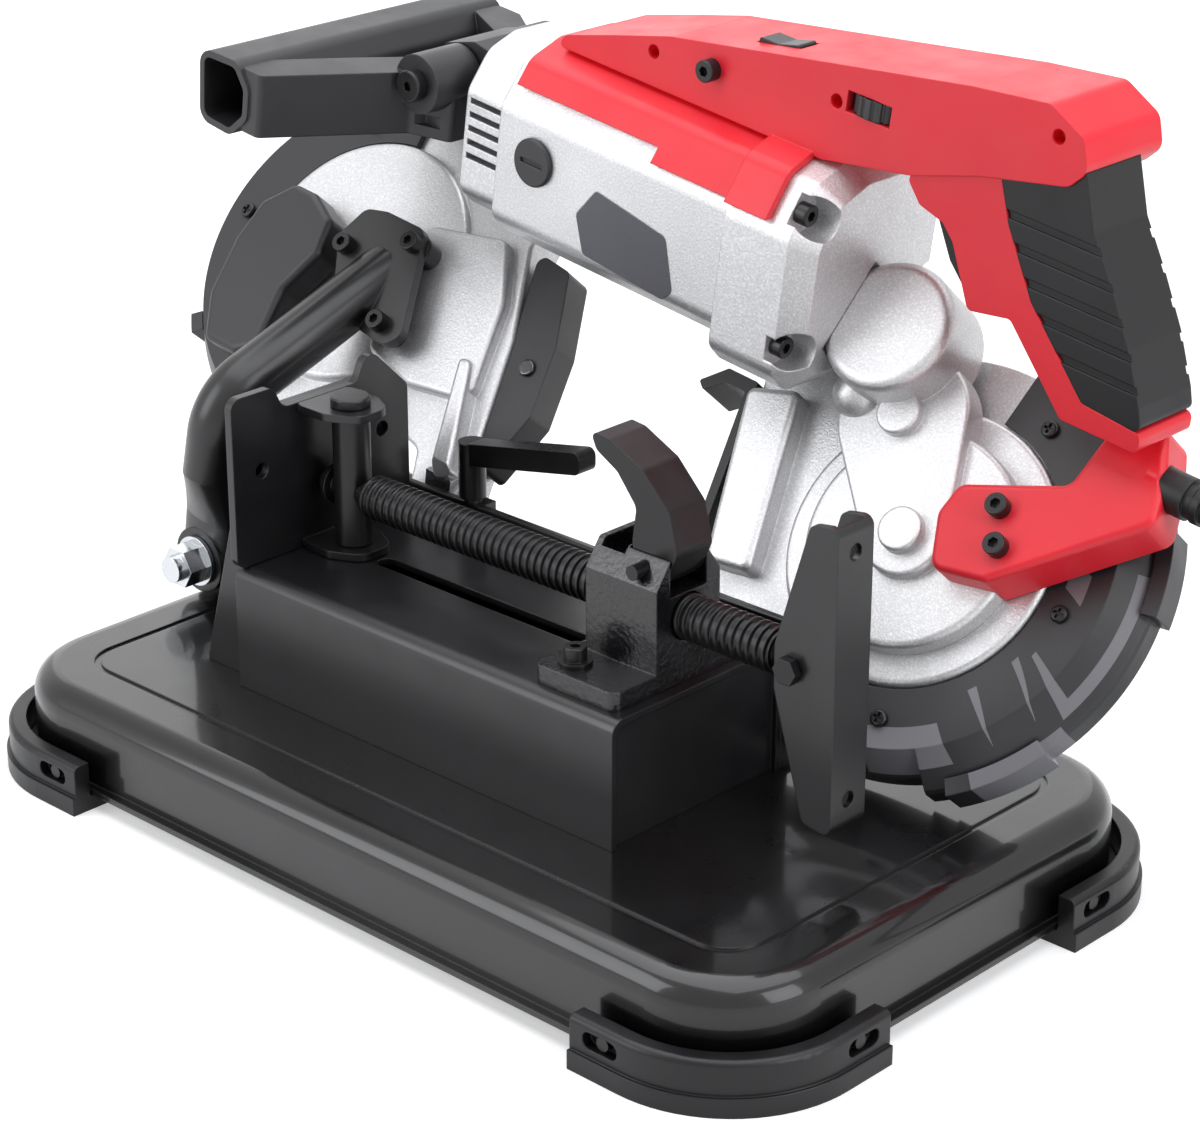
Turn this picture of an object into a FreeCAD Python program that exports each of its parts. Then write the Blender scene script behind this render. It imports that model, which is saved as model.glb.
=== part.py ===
import FreeCAD, Part
import math
import os

Vec = FreeCAD.Vector

# Portable band saw on a bench stand, millimetres, floor at Z zero, X along the stand, operator at minus Y

# Stand pan and feet
pan_x0, pan_x1 = -171.0, 257.0
pan_y0, pan_y1 = -200.0, 53.0
pan_low, pan_top = 7.0, 45.0
pan_corner = 45.0
pan_edge = 11.0
pan_sheet = 2.0
lip_out, lip_high = 4.0, 2.6
groove_inset, groove_wide, groove_deep = 26.0, 3.0, 0.9
foot_out, foot_high, foot_leg, foot_in = 12.0, 22.0, 84.0, 14.0
foot_step_out, foot_step_high = 13.5, 8.0
foot_gap = 0.4
foot_slot_long, foot_slot_high, foot_slot_deep = 17.0, 7.0, 4.5
foot_slot_from_end, foot_slot_z = 15.0, 15.0
foot_screw_r, foot_screw_high = 2.9, 3.0

# Vise bed, rail and jaws
bed_x0, bed_x1 = -74.0, 142.0
bed_y0, bed_y1 = -142.6, -44.4
bed_top = 99.4
bed_sheet, bed_bend = 3.0, 6.0
bed_end_inset = 2.5
slot_x0, slot_x1, slot_wide = -36.0, 92.0, 9.0
rail_y0, rail_sheet, rail_top, rail_foot = -44.2, 4.0, 110.0, 16.0
screw_y, screw_z = -95.0, 127.0
screw_r, thread_depth, thread_pitch = 9.3, 1.3, 4.0
screw_x0, screw_x1 = -40.0, 186.0
screw_tail_r, screw_tail_x1 = 6.0, 212.0
screw_neck_r = 5.0
jaw_x0, jaw_x1 = -73.4, -69.6
jaw_y0, jaw_y1 = -144.6, -46.4
jaw_low, jaw_top, jaw_notch = 99.8, 174.5, 164.5
jaw_wing_near, jaw_wing_far, jaw_slope = 23.0, 24.0, 18.0
jaw_corner = 5.0
jaw_flat = 18.0
jaw_hole_r, jaw_hole_in, jaw_hole_z = 3.4, 15.3, 140.0
tab_thick, tab_wide, tab_x1 = 3.4, 30.0, -38.0
tube_x, tube_r, tube_bore = -52.0, 8.0, 4.6
tube_low, tube_high = 103.6, 160.6
pin_r, pin_head_r, pin_head_high = 4.5, 8.4, 4.0
washer_r, washer_thick = 9.0, 2.0
fixed_jaw_x0, fixed_jaw_x1 = -82.0, -77.4
fixed_jaw_y0, fixed_jaw_y1, fixed_jaw_top = -134.0, -50.0, 162.0
fixed_jaw_flange, fixed_jaw_sheet = 22.0, 4.6
fixed_jaw_gusset = 129.6

# Nut block with quick release
block_x0, block_x1 = 100.0, 137.0
block_y0, block_y1 = -113.0, -77.0
block_top, block_shoulder = 153.0, 142.0
block_chamfer, block_round = 8.0, 2.0
block_foot_y0, block_foot_y1, block_foot_high = -136.0, -54.0, 8.0
block_foot_x0 = 94.0
block_bolt_x, block_bolt_near, block_bolt_far = 106.0, -125.0, -65.0
nut_bore_gap = 0.5
nut_gap, half_nut_lift, block_bolt_past, lever_pin_past = 0.2, 3.0, 12.0, 2.0
plain_washer, plain_washer_high = 2.2, 1.6
half_nut_x0, half_nut_x1, half_nut_wide, half_nut_high = 103.0, 115.0, 24.0, 14.0
lever_pin_x, lever_pin_z, lever_pin_r = 126.0, 147.5, 3.0
lever_wide, lever_high, lever_round = 20.0, 47.0, 5.0
lever_shares = [(-0.17, -0.085), (-0.064, -0.17), (0.085, -0.17), (0.191, -0.064), (0.298, 0.17),
                (0.213, 0.511), (-0.085, 0.809), (-0.447, 0.979), (-0.66, 1), (-0.596, 0.851),
                (-0.362, 0.723), (-0.149, 0.468), (-0.191, 0.17)]

# Clamp lever behind the rail
clamp_x, clamp_y = -37.0, -40.1
stud_r, stud_high = 4.0, 132.0
clamp_hub_r, clamp_hub_high, clamp_hub_top = 6.0, 20.0, 5.0
clamp_long, clamp_wide, clamp_thick, clamp_rise = 68.0, 10.0, 10.0, 14.0
clamp_tab_half, clamp_tab_thick = 8.0, 4.0

# Crank handle
crank_web_x, crank_wide, crank_sheet = 218.0, 20.0, 2.6
crank_deep, crank_half = 29.0, 63.0
crank_round, crank_head_high = 4.0, 3.7
crank_shares = [(0, -1), (-0.483, -0.968), (-1, -0.159), (-1, 0.127), (-0.448, 0.952), (0, 0.984)]
crank_hole_z, crank_hole_r = 177.0, 3.4
crank_pin_x, crank_pin_r, crank_pin_head = 197.0, 3.0, 5.6

# Saw attitude: drooped about Y, wheel plane leaning back
saw_x, saw_y, saw_z = 2.97, 8.07, 156.25
droop_deg = 8.0
tilt_deg = 40.0

# Pivot and swing arm
pivot_x, pivot_z = -158.0, 63.0
arm_y, arm_flat, arm_flat_wide = -89.0, 9.0, 15.0
pivot_bolt_r, pivot_head_r, pivot_nut_high = 6.0, 9.6, 10.0
pivot_washer_r, pivot_washer = 11.5, 2.0
pivot_tail, pivot_bolt_head = 4.0, 7.0
ear_half, ear_side, ear_top, ear_round = 14.0, 9.0, 15.0, 7.0
bracket_y0, bracket_y1, bracket_sheet = -81.0, -40.0, 6.0
bracket_x0, bracket_x1 = -176.0, -140.0
arm_r = 13.0
arm_flat_from, arm_flat_to, arm_inset, arm_trim_r = 4.0, 20.0, 0.4, 45.0
arm_rise_x, arm_rise_z = -151.0, 106.0
arm_bend_x, arm_bend_z = -143.0, 141.0
plate_low, plate_high = 12.4, 17.4
landing_x, landing_w = -139.0, -10.0
plate_round, spacer_wall = 6.0, 1.6
plate_shares = [(-1.006, 0.052), (-0.97, 0.262), (-0.897, 0.301), (-0.752, 0.301), (-0.63, -0.314),
                (-0.667, -0.406), (-0.758, -0.393), (-0.921, -0.236)]
mount_bolts_shares = [(-0.958, 0.013), (-0.758, 0.196), (-0.715, -0.301)]

# Wheels and blade, wheel plane numbers: x along the saw, second number up the leaning plane
wheel_span = 330.0
wheel_r = 76.4
tyre_thick, tyre_gap = 2.4, 0.15
wheel_low, wheel_high = -21.5, -9.5
blade_low, blade_high, blade_thick = -22.0, -9.0, 0.65
guide_left, guide_right = -58.0, 92.0
disc_r, disc_low = 58.5, -8.0
flange_r, flange_high, wheel_room_r = 82.0, -5.3, 84.0
guard_r, guard_face_r, guard_in_r = 99.0, 84.0, 59.3
guard_top, guard_low, guard_wall, guard_slope_low = -2.0, -24.0, 3.2, -13.0
guard_small_r = 92.0
bump_r, bump_high = 103.0, -8.5
guard_lip, guard_inset = 2.0, 1.4
guard_start_deg, guard_step_deg, guard_end_deg = -96.0, -58.0, 86.0
bump_degs = [(10.0, 30.0), (-52.0, -28.0)]
cover_start_deg, cover_end_deg, cover_rib = 96.0, 262.0, 3.0
cover_rib_degs = [140.0, 220.0]

# Main frame casting
spine_x0, spine_x1 = -120.0, 130.0
spine_w0, spine_w1, spine_n0, spine_n1 = 64.0, 88.0, -24.0, -3.0
spine_slot_w0, spine_slot_w1, spine_slot_n1 = 70.0, 83.0, -8.0
left_arm_shares = [(-0.909, -0.602), (-0.909, 0.654), (-0.715, 1.152), (-0.533, 1.152), (-0.509, 0.524),
                   (-0.4, 0), (-0.285, -0.864), (-0.285, -1.152), (-0.412, -1.152), (-0.485, -0.812)]
left_panel_shares = [(-0.788, -0.445), (-0.836, 0.366), (-0.558, 0.497), (-0.461, 0.157), (-0.388, -0.445),
                     (-0.606, -0.524)]
left_rib_shares = [(-0.479, -0.236), (-0.436, -0.236), (-0.303, -0.864), (-0.364, -0.916)]
right_arm_shares = [(0.352, 1.152), (0.352, 0.445), (0.485, -0.393), (0.521, -1.152), (0.679, -1.152),
                    (0.812, -0.733), (0.909, 0.524), (0.727, 1.152)]
right_wedge_shares = [(0.364, 0.34), (0.509, 0.445), (0.655, -0.55), (0.521, -0.602)]
arm_low, arm_high = -24.0, -3.0
panel_high, rib_high, wedge_high = 3.6, 7.0, 8.0
front_limit = -45.6
front_limit_top = -20.0
casting_corner, panel_corner, rib_corner, spine_corner = 6.0, 8.0, 3.0, 4.0
casting_edge, disc_edge, neck_edge, boss_edge = 2.0, 2.5, 5.0, 1.5
blade_slot_w0, blade_slot_w1, blade_slot_n1 = -90.0, -69.0, -7.0

# Motor, saw upright numbers: x along the saw, y across, z up
motor_y, motor_z = 31.0, 90.0
barrel_x0, barrel_x1 = -72.0, 58.0
barrel_shares = [(-1, -0.744), (-1, 0.419), (-0.721, 0.837), (-0.349, 0.977), (0.349, 0.977), (0.721, 0.837),
                 (0.977, 0.419), (0.977, -0.465), (0.442, -1), (-0.721, -1)]
barrel_half, cap_half = 43.0, 47.0
barrel_round = 9.0
barrel_bore = 33.4
seat_n = -2.6
bell_x0 = -100.0
bell_step = 4.0
bell_wall, bell_bore = 9.0, 27.4
vent_long, vent_high, vent_count, vent_step, vent_below, vent_from = 20.0, 2.6, 5, 6.2, 14.0, 22.0
cap_x1, cap_taper = 101.0, 9.0
cap_shares = [(-1, -0.851), (-1, 0.383), (-0.745, 0.809), (-0.319, 0.979), (0.362, 0.979), (0.745, 0.809),
              (0.957, 0.383), (0.957, -0.596), (0.574, -1.064), (-0.787, -1.064)]
cap_screws_shares = [(-0.766, 0.553), (0.638, 0.574), (-0.851, -0.638), (0.787, -0.34)]
cap_pocket_r, cap_pocket_deep = 8.6, 9.0
seam = 0.35
plate_name_shares = [(-0.558, -0.326), (-0.326, 0), (0.605, -0.14), (0.767, -0.651), (0.651, -0.767),
                     (-0.419, -0.698)]
plate_name_deep = 1.2
name_round = 3.0
brush_x, brush_cap_r, brush_cap_high, brush_slot = -50.0, 10.5, 2.2, 6.3
brush_bore = 5.4

# Gear train
pinion_teeth, second_teeth, first_module = 13, 40, 1.0
bevel_pinion_r, bevel_gear_r, bevel_face = 9.0, 22.0, 6.0
bevel_pinion_teeth, bevel_gear_teeth = 9, 22
cross_teeth, idler_gear_teeth, idler_pinion_teeth, drive_teeth, drive_module = 12, 30, 12, 55, 1.5
idler_turn_deg = 124.5
cross_turn_deg = 121.3
mesh_extra = 0.12
gear_room = 1.6
gear_side, entry_room, neck_roof = 0.7, 4.0, 2.6
buried_share = 0.3
gear_slack_share = 0.16
tip_share, root_share = 0.85, 1.2
tip_width_share, root_width_share = 0.5, 1.3
drive_gear_n0, drive_gear_n1 = 0.8, 6.2
idler_gear_n0, idler_gear_n1 = 7.0, 11.4
shaft_r, wheel_shaft_r = 4.0, 6.0
first_gear_x0, first_gear_x1 = 86.0, 94.0
case_floor = 0.1
ring_r, ring_high = 46.0, 9.5
lobe_r, lobe_small_r, lobe_high = 28.5, 18.0, 15.0
neck_r, neck_high = 28.0, 35.0
boss_r, boss_high = 9.4, 20.0
bulge_x, bulge_w, bulge_n, bulge_r = 113.0, 42.0, 13.0, 11.0

# Handle shell and controls
skirt_x0, skirt_x1, skirt_low, skirt_thick = -67.0, 80.0, 112.5, 2.8
skirt_step_x, skirt_step = 14.0, 6.0
shell_y0, shell_y1 = 7.0, 55.0
handle_long, handle_high = 200.0, 190.0
shell_shares = [(-0.3, 0.708), (-0.29, 0.737), (-0.15, 0.784), (0, 0.832), (0.75, 0.984), (0.93, 1.011),
                (1.015, 0.968), (1.035, 0.905), (1, 0.863), (0.8, 0.811), (0.64, 0.753), (0.42, 0.708)]
grip_y, grip_half, core_half = 25.0, 17.0, 12.0
grip_red_shares = [(0.63, 0.747), (0.67, 0.7), (0.73, 0.684), (0.76, 0.653), (0.82, 0.526), (0.92, 0.547),
                   (1.07, 0.389), (1.25, 0.389), (1.25, 0.432), (1.11, 0.442), (0.96, 0.6), (0.88, 0.737),
                   (0.84, 0.842), (0.8, 0.884)]
grip_black_shares = [(0.8, 0.884), (0.84, 0.842), (0.88, 0.737), (0.96, 0.6), (1.11, 0.442), (1.25, 0.432),
                     (1.235, 0.484), (1.19, 0.589), (1.13, 0.695), (1.07, 0.789), (1.03, 0.905),
                     (0.95, 0.937)]
core_shares = [(0.75, 0.895), (0.8, 0.789), (0.93, 0.589), (1.09, 0.411), (1.22, 0.411), (1.13, 0.611),
               (1, 0.874)]
bracket_shares = [(1.079, 0.157), (1.139, -0.118), (1.285, -0.052), (1.588, 0.576), (1.552, 0.812),
                  (1.491, 1.047), (1.37, 1.047), (1.345, 0.576), (1.091, 0.34)]
bracket_n0, bracket_n1 = 1.0, 24.0
bracket_bolts_shares = [(1.224, 0.314), (1.273, 0.131)]
trigger_shares = [(0.675, 0.689), (0.715, 0.7), (0.76, 0.663), (0.84, 0.521), (0.8, 0.516), (0.73, 0.589)]
trigger_half = 8.0
trigger_round = 2.5
trigger_pivot_x, trigger_pivot_z, trigger_pin_r = 147.0, 131.0, 2.0
rocker_x, rocker_long, rocker_half, rocker_high, rocker_depth = 46.0, 20.0, 5.5, 4.0, 8.0
rocker_z, rocker_gap = 166.0, 1.6
rocker_dip = 1.3
dial_x, dial_y, dial_z, dial_r, dial_high = 104.0, 19.0, 158.0, 13.2, 8.0
dial_shaft_r = 2.0
boot_x0, boot_y, boot_z, boot_r0, boot_r1, boot_long = 256.0, 27.0, 56.0, 8.5, 6.0, 46.0

# Front handle
front_reach, front_high, front_half = 190.0, 108.0, 78.0
handle_y0, handle_y1 = -75.0, 80.0
handle_shares = [(-1.011, 0.991), (-0.884, 1), (-0.842, 0.907), (-0.842, 0.778), (-0.895, 0.685), (-1, 0.694)]
handle_wall, handle_round = 3.0, 7.0
pin_x, pin_z, pin_boss_r, pin_hole_r = -118.0, 103.0, 13.0, 4.2
near_arm_shares = [(-0.874, -0.949), (-0.811, -0.949), (-0.653, -0.179), (-0.558, -0.077), (-0.558, 0.115),
                   (-0.695, 0.115), (-0.789, -0.308), (-0.874, -0.718)]
far_arm_shares = [(-0.874, 1.013), (-0.874, 0.821), (-0.674, 0.603), (-0.558, 0.603), (-0.558, 0.769),
                  (-0.663, 0.795), (-0.8, 1.013)]
arm_z0, arm_z1 = 78.0, 106.0
rib_cut, rib_gap = 3.0, 5.0
lug_y0, lug_y1 = 10.0, 46.0
lug_shares = [(-0.642, 0.833), (-0.695, 0.926), (-0.684, 1.046), (-0.589, 1.102), (-0.528, 1.083),
              (-0.528, 0.852), (-0.568, 0.815)]

# Tension lever and idler slide
lever_x, lever_w = -192.0, -1.0
tension_shares = [(-1.236, 0.209), (-1.152, 0.209), (-1.048, 0.105), (-1.024, -0.105), (-1.067, -0.393),
                  (-1.036, -0.759), (-1.103, -0.864), (-1.224, -0.864), (-1.297, -0.602), (-1.321, -0.236),
                  (-1.309, 0.026)]
tension_low, tension_high, tension_round = 4.0, 19.0, 5.0
slide_long, slide_wide, slide_gap = 34.0, 20.0, 0.1
axle_r = 6.0

# Light, work stop and guides
light_x, light_w, light_long, light_wide = -52.0, -8.0, 62.0, 26.0
stop_shares = [(0.206, 0.262), (0.267, 0.393), (0.364, 0.393), (0.448, -0.393), (0.448, -0.838),
               (0.424, -0.838), (0.424, -0.406), (0.345, 0.314), (0.279, 0.314), (0.23, 0.223)]
stop_low, stop_high = -23.0, 2.0

# Fasteners
head_r, head_high, socket_r, socket_deep, shank_r = 4.6, 5.6, 2.3, 2.8, 2.6
cross_r, cross_high = 3.6, 2.4
hexagon = 6
bolt_gap, run_gap, bearing_gap = 0.4, 0.05, 0.06
head_edge_share = 0.12
cross_arm_share, cross_thin_share, cross_deep_share = 0.62, 0.16, 0.6

# Sizes of the inner pieces
over = 1.0
shaft_big = 5.0
bell_bearing_x = 4.6
core_r, core_x0, core_x1 = 24.0, -32.0, 22.0
core_slots, core_slot_wide, core_slot_deep = 12, 2.4, 6.0
commutator_r, commutator_x0, commutator_x1 = 14.0, -58.0, -42.0
fan_r, fan_hub_r, fan_x0, fan_x1, fan_disc, fan_blades = 31.0, 9.0, 34.0, 46.0, 2.2, 9
second_tail = 7.0
bevel_hub = 3.0
cross_tail = 1.4
axle_nut, axle_nut_share = 3.0, 1.7
drive_holes, drive_hole_r, drive_hole_at = 6, 7.0, 24.0
hub_r, hub_proud, rim_thick, wheel_dish = 16.0, 1.0, 6.0, 3.5
wheel_holes, wheel_hole_r, wheel_hole_at = 6, 12.0, 42.0
stator_r, stator_bore = 33.2, 25.0
bearing_r, bearing_small_r, bearing_big_r, bearing_wide = 8.0, 7.0, 11.0, 5.0
brush_z, brush_half, brush_long = 90.0, 3.0, 20.0
shell_round, shell_edge = 6.0, 3.0
trigger_room_shares = [(0.665, 0.721), (0.75, 0.721), (0.78, 0.674), (0.88, 0.505), (0.75, 0.474),
                       (0.65, 0.632)]
dial_window, dial_tail, dial_notches, dial_notch_r = 11.0, 6.0, 18, 0.9
shell_holes_shares = [(-0.04, 0.784), (0.44, 0.842), (0.96, 0.953)]
shell_hole_r, shell_hole_deep = 3.0, 6.0
shell_screw_x, shell_screw_z = 24.0, 152.0
grip_ridges, ridge_high, ridge_deep = 5, 1.6, 1.2
boot_in = 8.0
boot_ring, boot_rings, boot_ring_deep = 10.0, 5, 1.3
rib_count = 2
rib_cut_shares = [(-0.8, -1.15), (-0.53, -1.15), (-0.53, -0.1), (-0.63, -0.1)]
handle_bolt_head = 7.0
near_boss_y0, far_boss_y1 = -17.0, 64.0
spindle_r, pocket_n, slide_travel, tension_edge = 4.0, -3.0, 5.0, 3.5
light_shares = [(-0.485, 0.524), (-0.364, 0.497), (-0.273, 0.079), (-0.224, -0.34), (-0.261, -0.759),
                (-0.303, -0.733), (-0.4, -0.026)]
light_low, light_high, lens_r, lens_high = -22.0, -5.0, 4.0, 1.8
guide_half, guide_high, guide_gap, guide_pin_r, guide_room = 7.6, 10.0, 1.2, 1.5, 9.0
roller_r, roller_high = 3.1, 9.0
guard_screws = [(1, 69, 70), (1, 69, 1), (1, 72, -70), (-1, 73, 182), (-1, 68, 119), (-1, 76, 246)]

# Cord, coil, plug and tie
cord_r = 4.0
cord_route = [(325, 97, 164), (367, 104, 142), (396, 124, 110), (409, 154, 72), (404, 184, 37), (383, 202, 15),
              (351, 203.5, 5.6), (331, 202, 5.4)]
coil_turns, coil_outer_r, coil_pitch, coil_climb_turns, coil_dip = 3, 58.5, 8.67, 0.5, 2.0
coil_layer = 8.55
coil_samples, coil_skip = 1400, 8
plug_tail = 50.0
plug_long, plug_wide, plug_high, plug_cone, plug_neck_r = 36.0, 25.0, 21.0, 20.0, 5.2
prong_long, prong_wide, prong_thick, prong_half_gap = 17.0, 6.3, 1.6, 6.35
tie_strap, tie_wide, tie_room = 1.2, 9.0, 0.4

tilt = math.radians(tilt_deg)
tilt_sin, tilt_cos = math.sin(tilt), math.cos(tilt)
half_span = wheel_span / 2
whole_turn = 360.0
half_turn = 180.0
quarter_turn = 90.0
reach = 600.0
tiny = 0.02


def sized(shares, first, second, at=(0.0, 0.0)):
    """Outline points from shares of two sizes, from a base point."""
    return [(at[0] + a * first, at[1] + b * second) for a, b in shares]


plate_outline = sized(plate_shares, half_span, wheel_r)
mount_bolts = sized(mount_bolts_shares, half_span, wheel_r)
left_arm = sized(left_arm_shares, half_span, wheel_r)
left_panel = sized(left_panel_shares, half_span, wheel_r)
left_rib = sized(left_rib_shares, half_span, wheel_r)
right_arm = sized(right_arm_shares, half_span, wheel_r)
right_wedge = sized(right_wedge_shares, half_span, wheel_r)
bracket_outline = sized(bracket_shares, half_span, wheel_r)
bracket_bolts = sized(bracket_bolts_shares, half_span, wheel_r)
tension_outline = sized(tension_shares, half_span, wheel_r)
stop_outline = sized(stop_shares, half_span, wheel_r)
light_outline = sized(light_shares, half_span, wheel_r)
barrel_outline = sized(barrel_shares, barrel_half, barrel_half, (motor_y, motor_z))
cap_outline = sized(cap_shares, cap_half, cap_half, (motor_y, motor_z))
cap_screws = sized(cap_screws_shares, cap_half, cap_half, (motor_y, motor_z))
plate_name = sized(plate_name_shares, barrel_half, barrel_half, (0, motor_z))
shell_outline = sized(shell_shares, handle_long, handle_high)
grip_red = sized(grip_red_shares, handle_long, handle_high)
grip_black = sized(grip_black_shares, handle_long, handle_high)
core_outline = sized(core_shares, handle_long, handle_high)
trigger_outline = sized(trigger_shares, handle_long, handle_high)
trigger_room_outline = sized(trigger_room_shares, handle_long, handle_high)
shell_holes = sized(shell_holes_shares, handle_long, handle_high)
handle_outline = sized(handle_shares, front_reach, front_high)
lug_outline = sized(lug_shares, front_reach, front_high)
near_arm = sized(near_arm_shares, front_reach, front_half)
far_arm = sized(far_arm_shares, front_reach, front_half)
rib_cut_outline = sized(rib_cut_shares, front_reach, front_half)
lever_outline = sized(lever_shares, lever_high, lever_high, (lever_pin_x, lever_pin_z))
crank_outline = sized(crank_shares, crank_deep, crank_half, (crank_web_x, screw_z))

nodes = {}


# Shape helpers

def rounded(points, radius):
    """Closed wire in the XY plane through the points, with every corner rounded."""
    count = len(points)
    edges = []
    ends = []
    limit_share = 0.46
    for i in range(count):
        here = Vec(points[i][0], points[i][1], 0)
        before = Vec(points[i - 1][0], points[i - 1][1], 0)
        after = Vec(points[(i + 1) % count][0], points[(i + 1) % count][1], 0)
        back = before - here
        ahead = after - here
        turn = back.getAngle(ahead)
        room = min(back.Length, ahead.Length) * limit_share
        cut = min(radius / math.tan(turn / 2), room)
        first = here + back.normalize() * cut
        last = here + ahead.normalize() * cut
        bend = cut * math.tan(turn / 2)
        middle_way = (back + ahead).normalize()
        middle = here + middle_way * (bend / math.sin(turn / 2) - bend)
        ends.append((first, middle, last))
    for i in range(count):
        first, middle, last = ends[i]
        edges.append(Part.Arc(first, middle, last).toShape())
        edges.append(Part.LineSegment(last, ends[(i + 1) % count][0]).toShape())
    return Part.Wire(edges)


def prism(points, radius, low, high):
    """Rounded outline drawn out along Z."""
    face = Part.Face(rounded(points, radius))
    face.translate(Vec(0, 0, low))
    return face.extrude(Vec(0, 0, high - low))


def polygon(points):
    return Part.makePolygon([Vec(*p) for p in points] + [Vec(*points[0])])


def soften(shape, level, radius):
    """Fillet the edges that lie in the plane at one height."""
    near = 0.001
    edges = [e for e in shape.Edges
             if abs(e.BoundBox.ZMin - level) < near and abs(e.BoundBox.ZMax - level) < near]
    return shape.makeFillet(radius, edges)


def across(shape):
    """Turn a prism drawn in X and Z so that it runs along Y."""
    shape.rotate(Vec(0, 0, 0), Vec(1, 0, 0), quarter_turn)
    return shape


def side_prism(points, radius, y0, y1):
    return across(prism(points, radius, -y1, -y0))


def endways(shape):
    """Turn a prism drawn in Y and Z so that it runs along X."""
    third_turn = 120.0
    shape.rotate(Vec(0, 0, 0), Vec(1, 1, 1), third_turn)
    return shape


def end_prism(points, radius, x0, x1):
    return endways(prism(points, radius, x0, x1))


def box(x0, x1, y0, y1, z0, z1):
    return Part.makeBox(x1 - x0, y1 - y0, z1 - z0, Vec(x0, y0, z0))


def rod(radius, start, end):
    way = Vec(*end) - Vec(*start)
    return Part.makeCylinder(radius, way.Length, Vec(*start), way)


def post(radius, x, y, z0, z1):
    return Part.makeCylinder(radius, z1 - z0, Vec(x, y, z0))


def lathe(profile):
    """Revolve radius and height pairs about Z."""
    face = Part.Face(polygon([(r, 0, z) for r, z in profile]))
    return face.revolve(Vec(0, 0, 0), Vec(0, 0, 1), whole_turn)


def capsule(x0, w0, r0, x1, w1, r1, low, high):
    """Two circles of different size with their outer tangents, drawn out along Z."""
    way = math.atan2(w1 - w0, x1 - x0)
    swing = math.acos((r0 - r1) / math.hypot(x1 - x0, w1 - w0))

    def at(x, w, r, turn):
        return Vec(x + r * math.cos(turn), w + r * math.sin(turn), low)

    first, last = at(x0, w0, r0, way + swing), at(x0, w0, r0, way - swing)
    far_first, far_last = at(x1, w1, r1, way + swing), at(x1, w1, r1, way - swing)
    wire = Part.Wire([Part.Arc(first, at(x0, w0, r0, way + math.pi), last).toShape(),
                      Part.LineSegment(last, far_last).toShape(),
                      Part.Arc(far_last, at(x1, w1, r1, way), far_first).toShape(),
                      Part.LineSegment(far_first, first).toShape()])
    return Part.Face(wire).extrude(Vec(0, 0, high - low))


def route(points):
    """Straight runs through the points with a tangent arc at each turn; returns the wire and its radii."""
    arc_share = 0.45
    spots = [Vec(*p) for p in points]
    edges, radii = [], []
    last = spots[0]
    for before, here, after in zip(spots, spots[1:], spots[2:]):
        back, ahead = before - here, after - here
        half = (math.pi - back.getAngle(ahead)) / 2
        cut = arc_share * min(back.Length, ahead.Length)
        radius = cut / math.tan(half)
        first = here + back.normalize() * cut
        end = here + ahead.normalize() * cut
        bulge = (back + ahead).normalize() * (radius / math.cos(half) - radius)
        edges.append(Part.LineSegment(last, first).toShape())
        edges.append(Part.Arc(first, here + bulge, end).toShape())
        radii.append(radius)
        last = end
    edges.append(Part.LineSegment(last, spots[-1]).toShape())
    return Part.Wire(edges), radii


def tube(points, radius):
    """Round bar along a route."""
    path, radii = route(points)
    return along(path, radius, Vec(*points[0]), Vec(*points[1]) - Vec(*points[0]))


def along(path, radius, start, way):
    section = Part.Wire(Part.makeCircle(radius, start, way))
    return path.makePipeShell([section], True, False)


def moved(shape, x, y, z):
    copy = shape.copy()
    copy.translate(Vec(x, y, z))
    return copy


def join(shapes):
    solids = [solid for shape in shapes for solid in shape.Solids]
    whole = solids[0].fuse(solids[1:]) if len(solids) > 1 else solids[0]
    whole = whole.removeSplitter()
    return whole.Solids[0] if len(whole.Solids) == 1 else whole


def group(shapes):
    solids = []
    for shape in shapes:
        solids.extend(shape.Solids)
    return Part.makeCompound(solids)


def grown(points, amount):
    """Rectangle corners from two opposite corners, moved outward."""
    (x0, y0), (x1, y1) = points
    return [(x0 - amount, y0 - amount), (x1 + amount, y0 - amount), (x1 + amount, y1 + amount),
            (x0 - amount, y1 + amount)]


def lean(shape):
    """From wheel plane numbers to upright saw numbers."""
    shape.rotate(Vec(0, 0, 0), Vec(1, 0, 0), quarter_turn - tilt_deg)
    return shape


def unlean(shape):
    shape.rotate(Vec(0, 0, 0), Vec(1, 0, 0), tilt_deg - quarter_turn)
    return shape


def stand_saw(shape):
    """From upright saw numbers to the stand."""
    shape.rotate(Vec(0, 0, 0), Vec(0, 1, 0), droop_deg)
    shape.translate(Vec(saw_x, saw_y, saw_z))
    return shape


def keep_upright(name, shape):
    nodes[name] = stand_saw(shape.copy())


def keep_leaning(name, shape):
    nodes[name] = stand_saw(lean(shape.copy()))


def socket_head(radius=head_r, high=head_high, shank=0.0):
    """Socket head screw standing on Z zero, shank below."""
    head = Part.makeCylinder(radius, high)
    head = soften(head, high, radius * head_edge_share)
    corners = [(socket_r * math.cos(i * math.pi * 2 / hexagon), socket_r * math.sin(i * math.pi * 2 / hexagon),
                high - socket_deep) for i in range(hexagon)]
    key = Part.Face(polygon(corners)).extrude(Vec(0, 0, socket_deep + over))
    head = head.cut(key)
    if shank > 0:
        head = head.fuse(Part.makeCylinder(shank_r, shank, Vec(0, 0, -shank))).removeSplitter()
    return head


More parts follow.
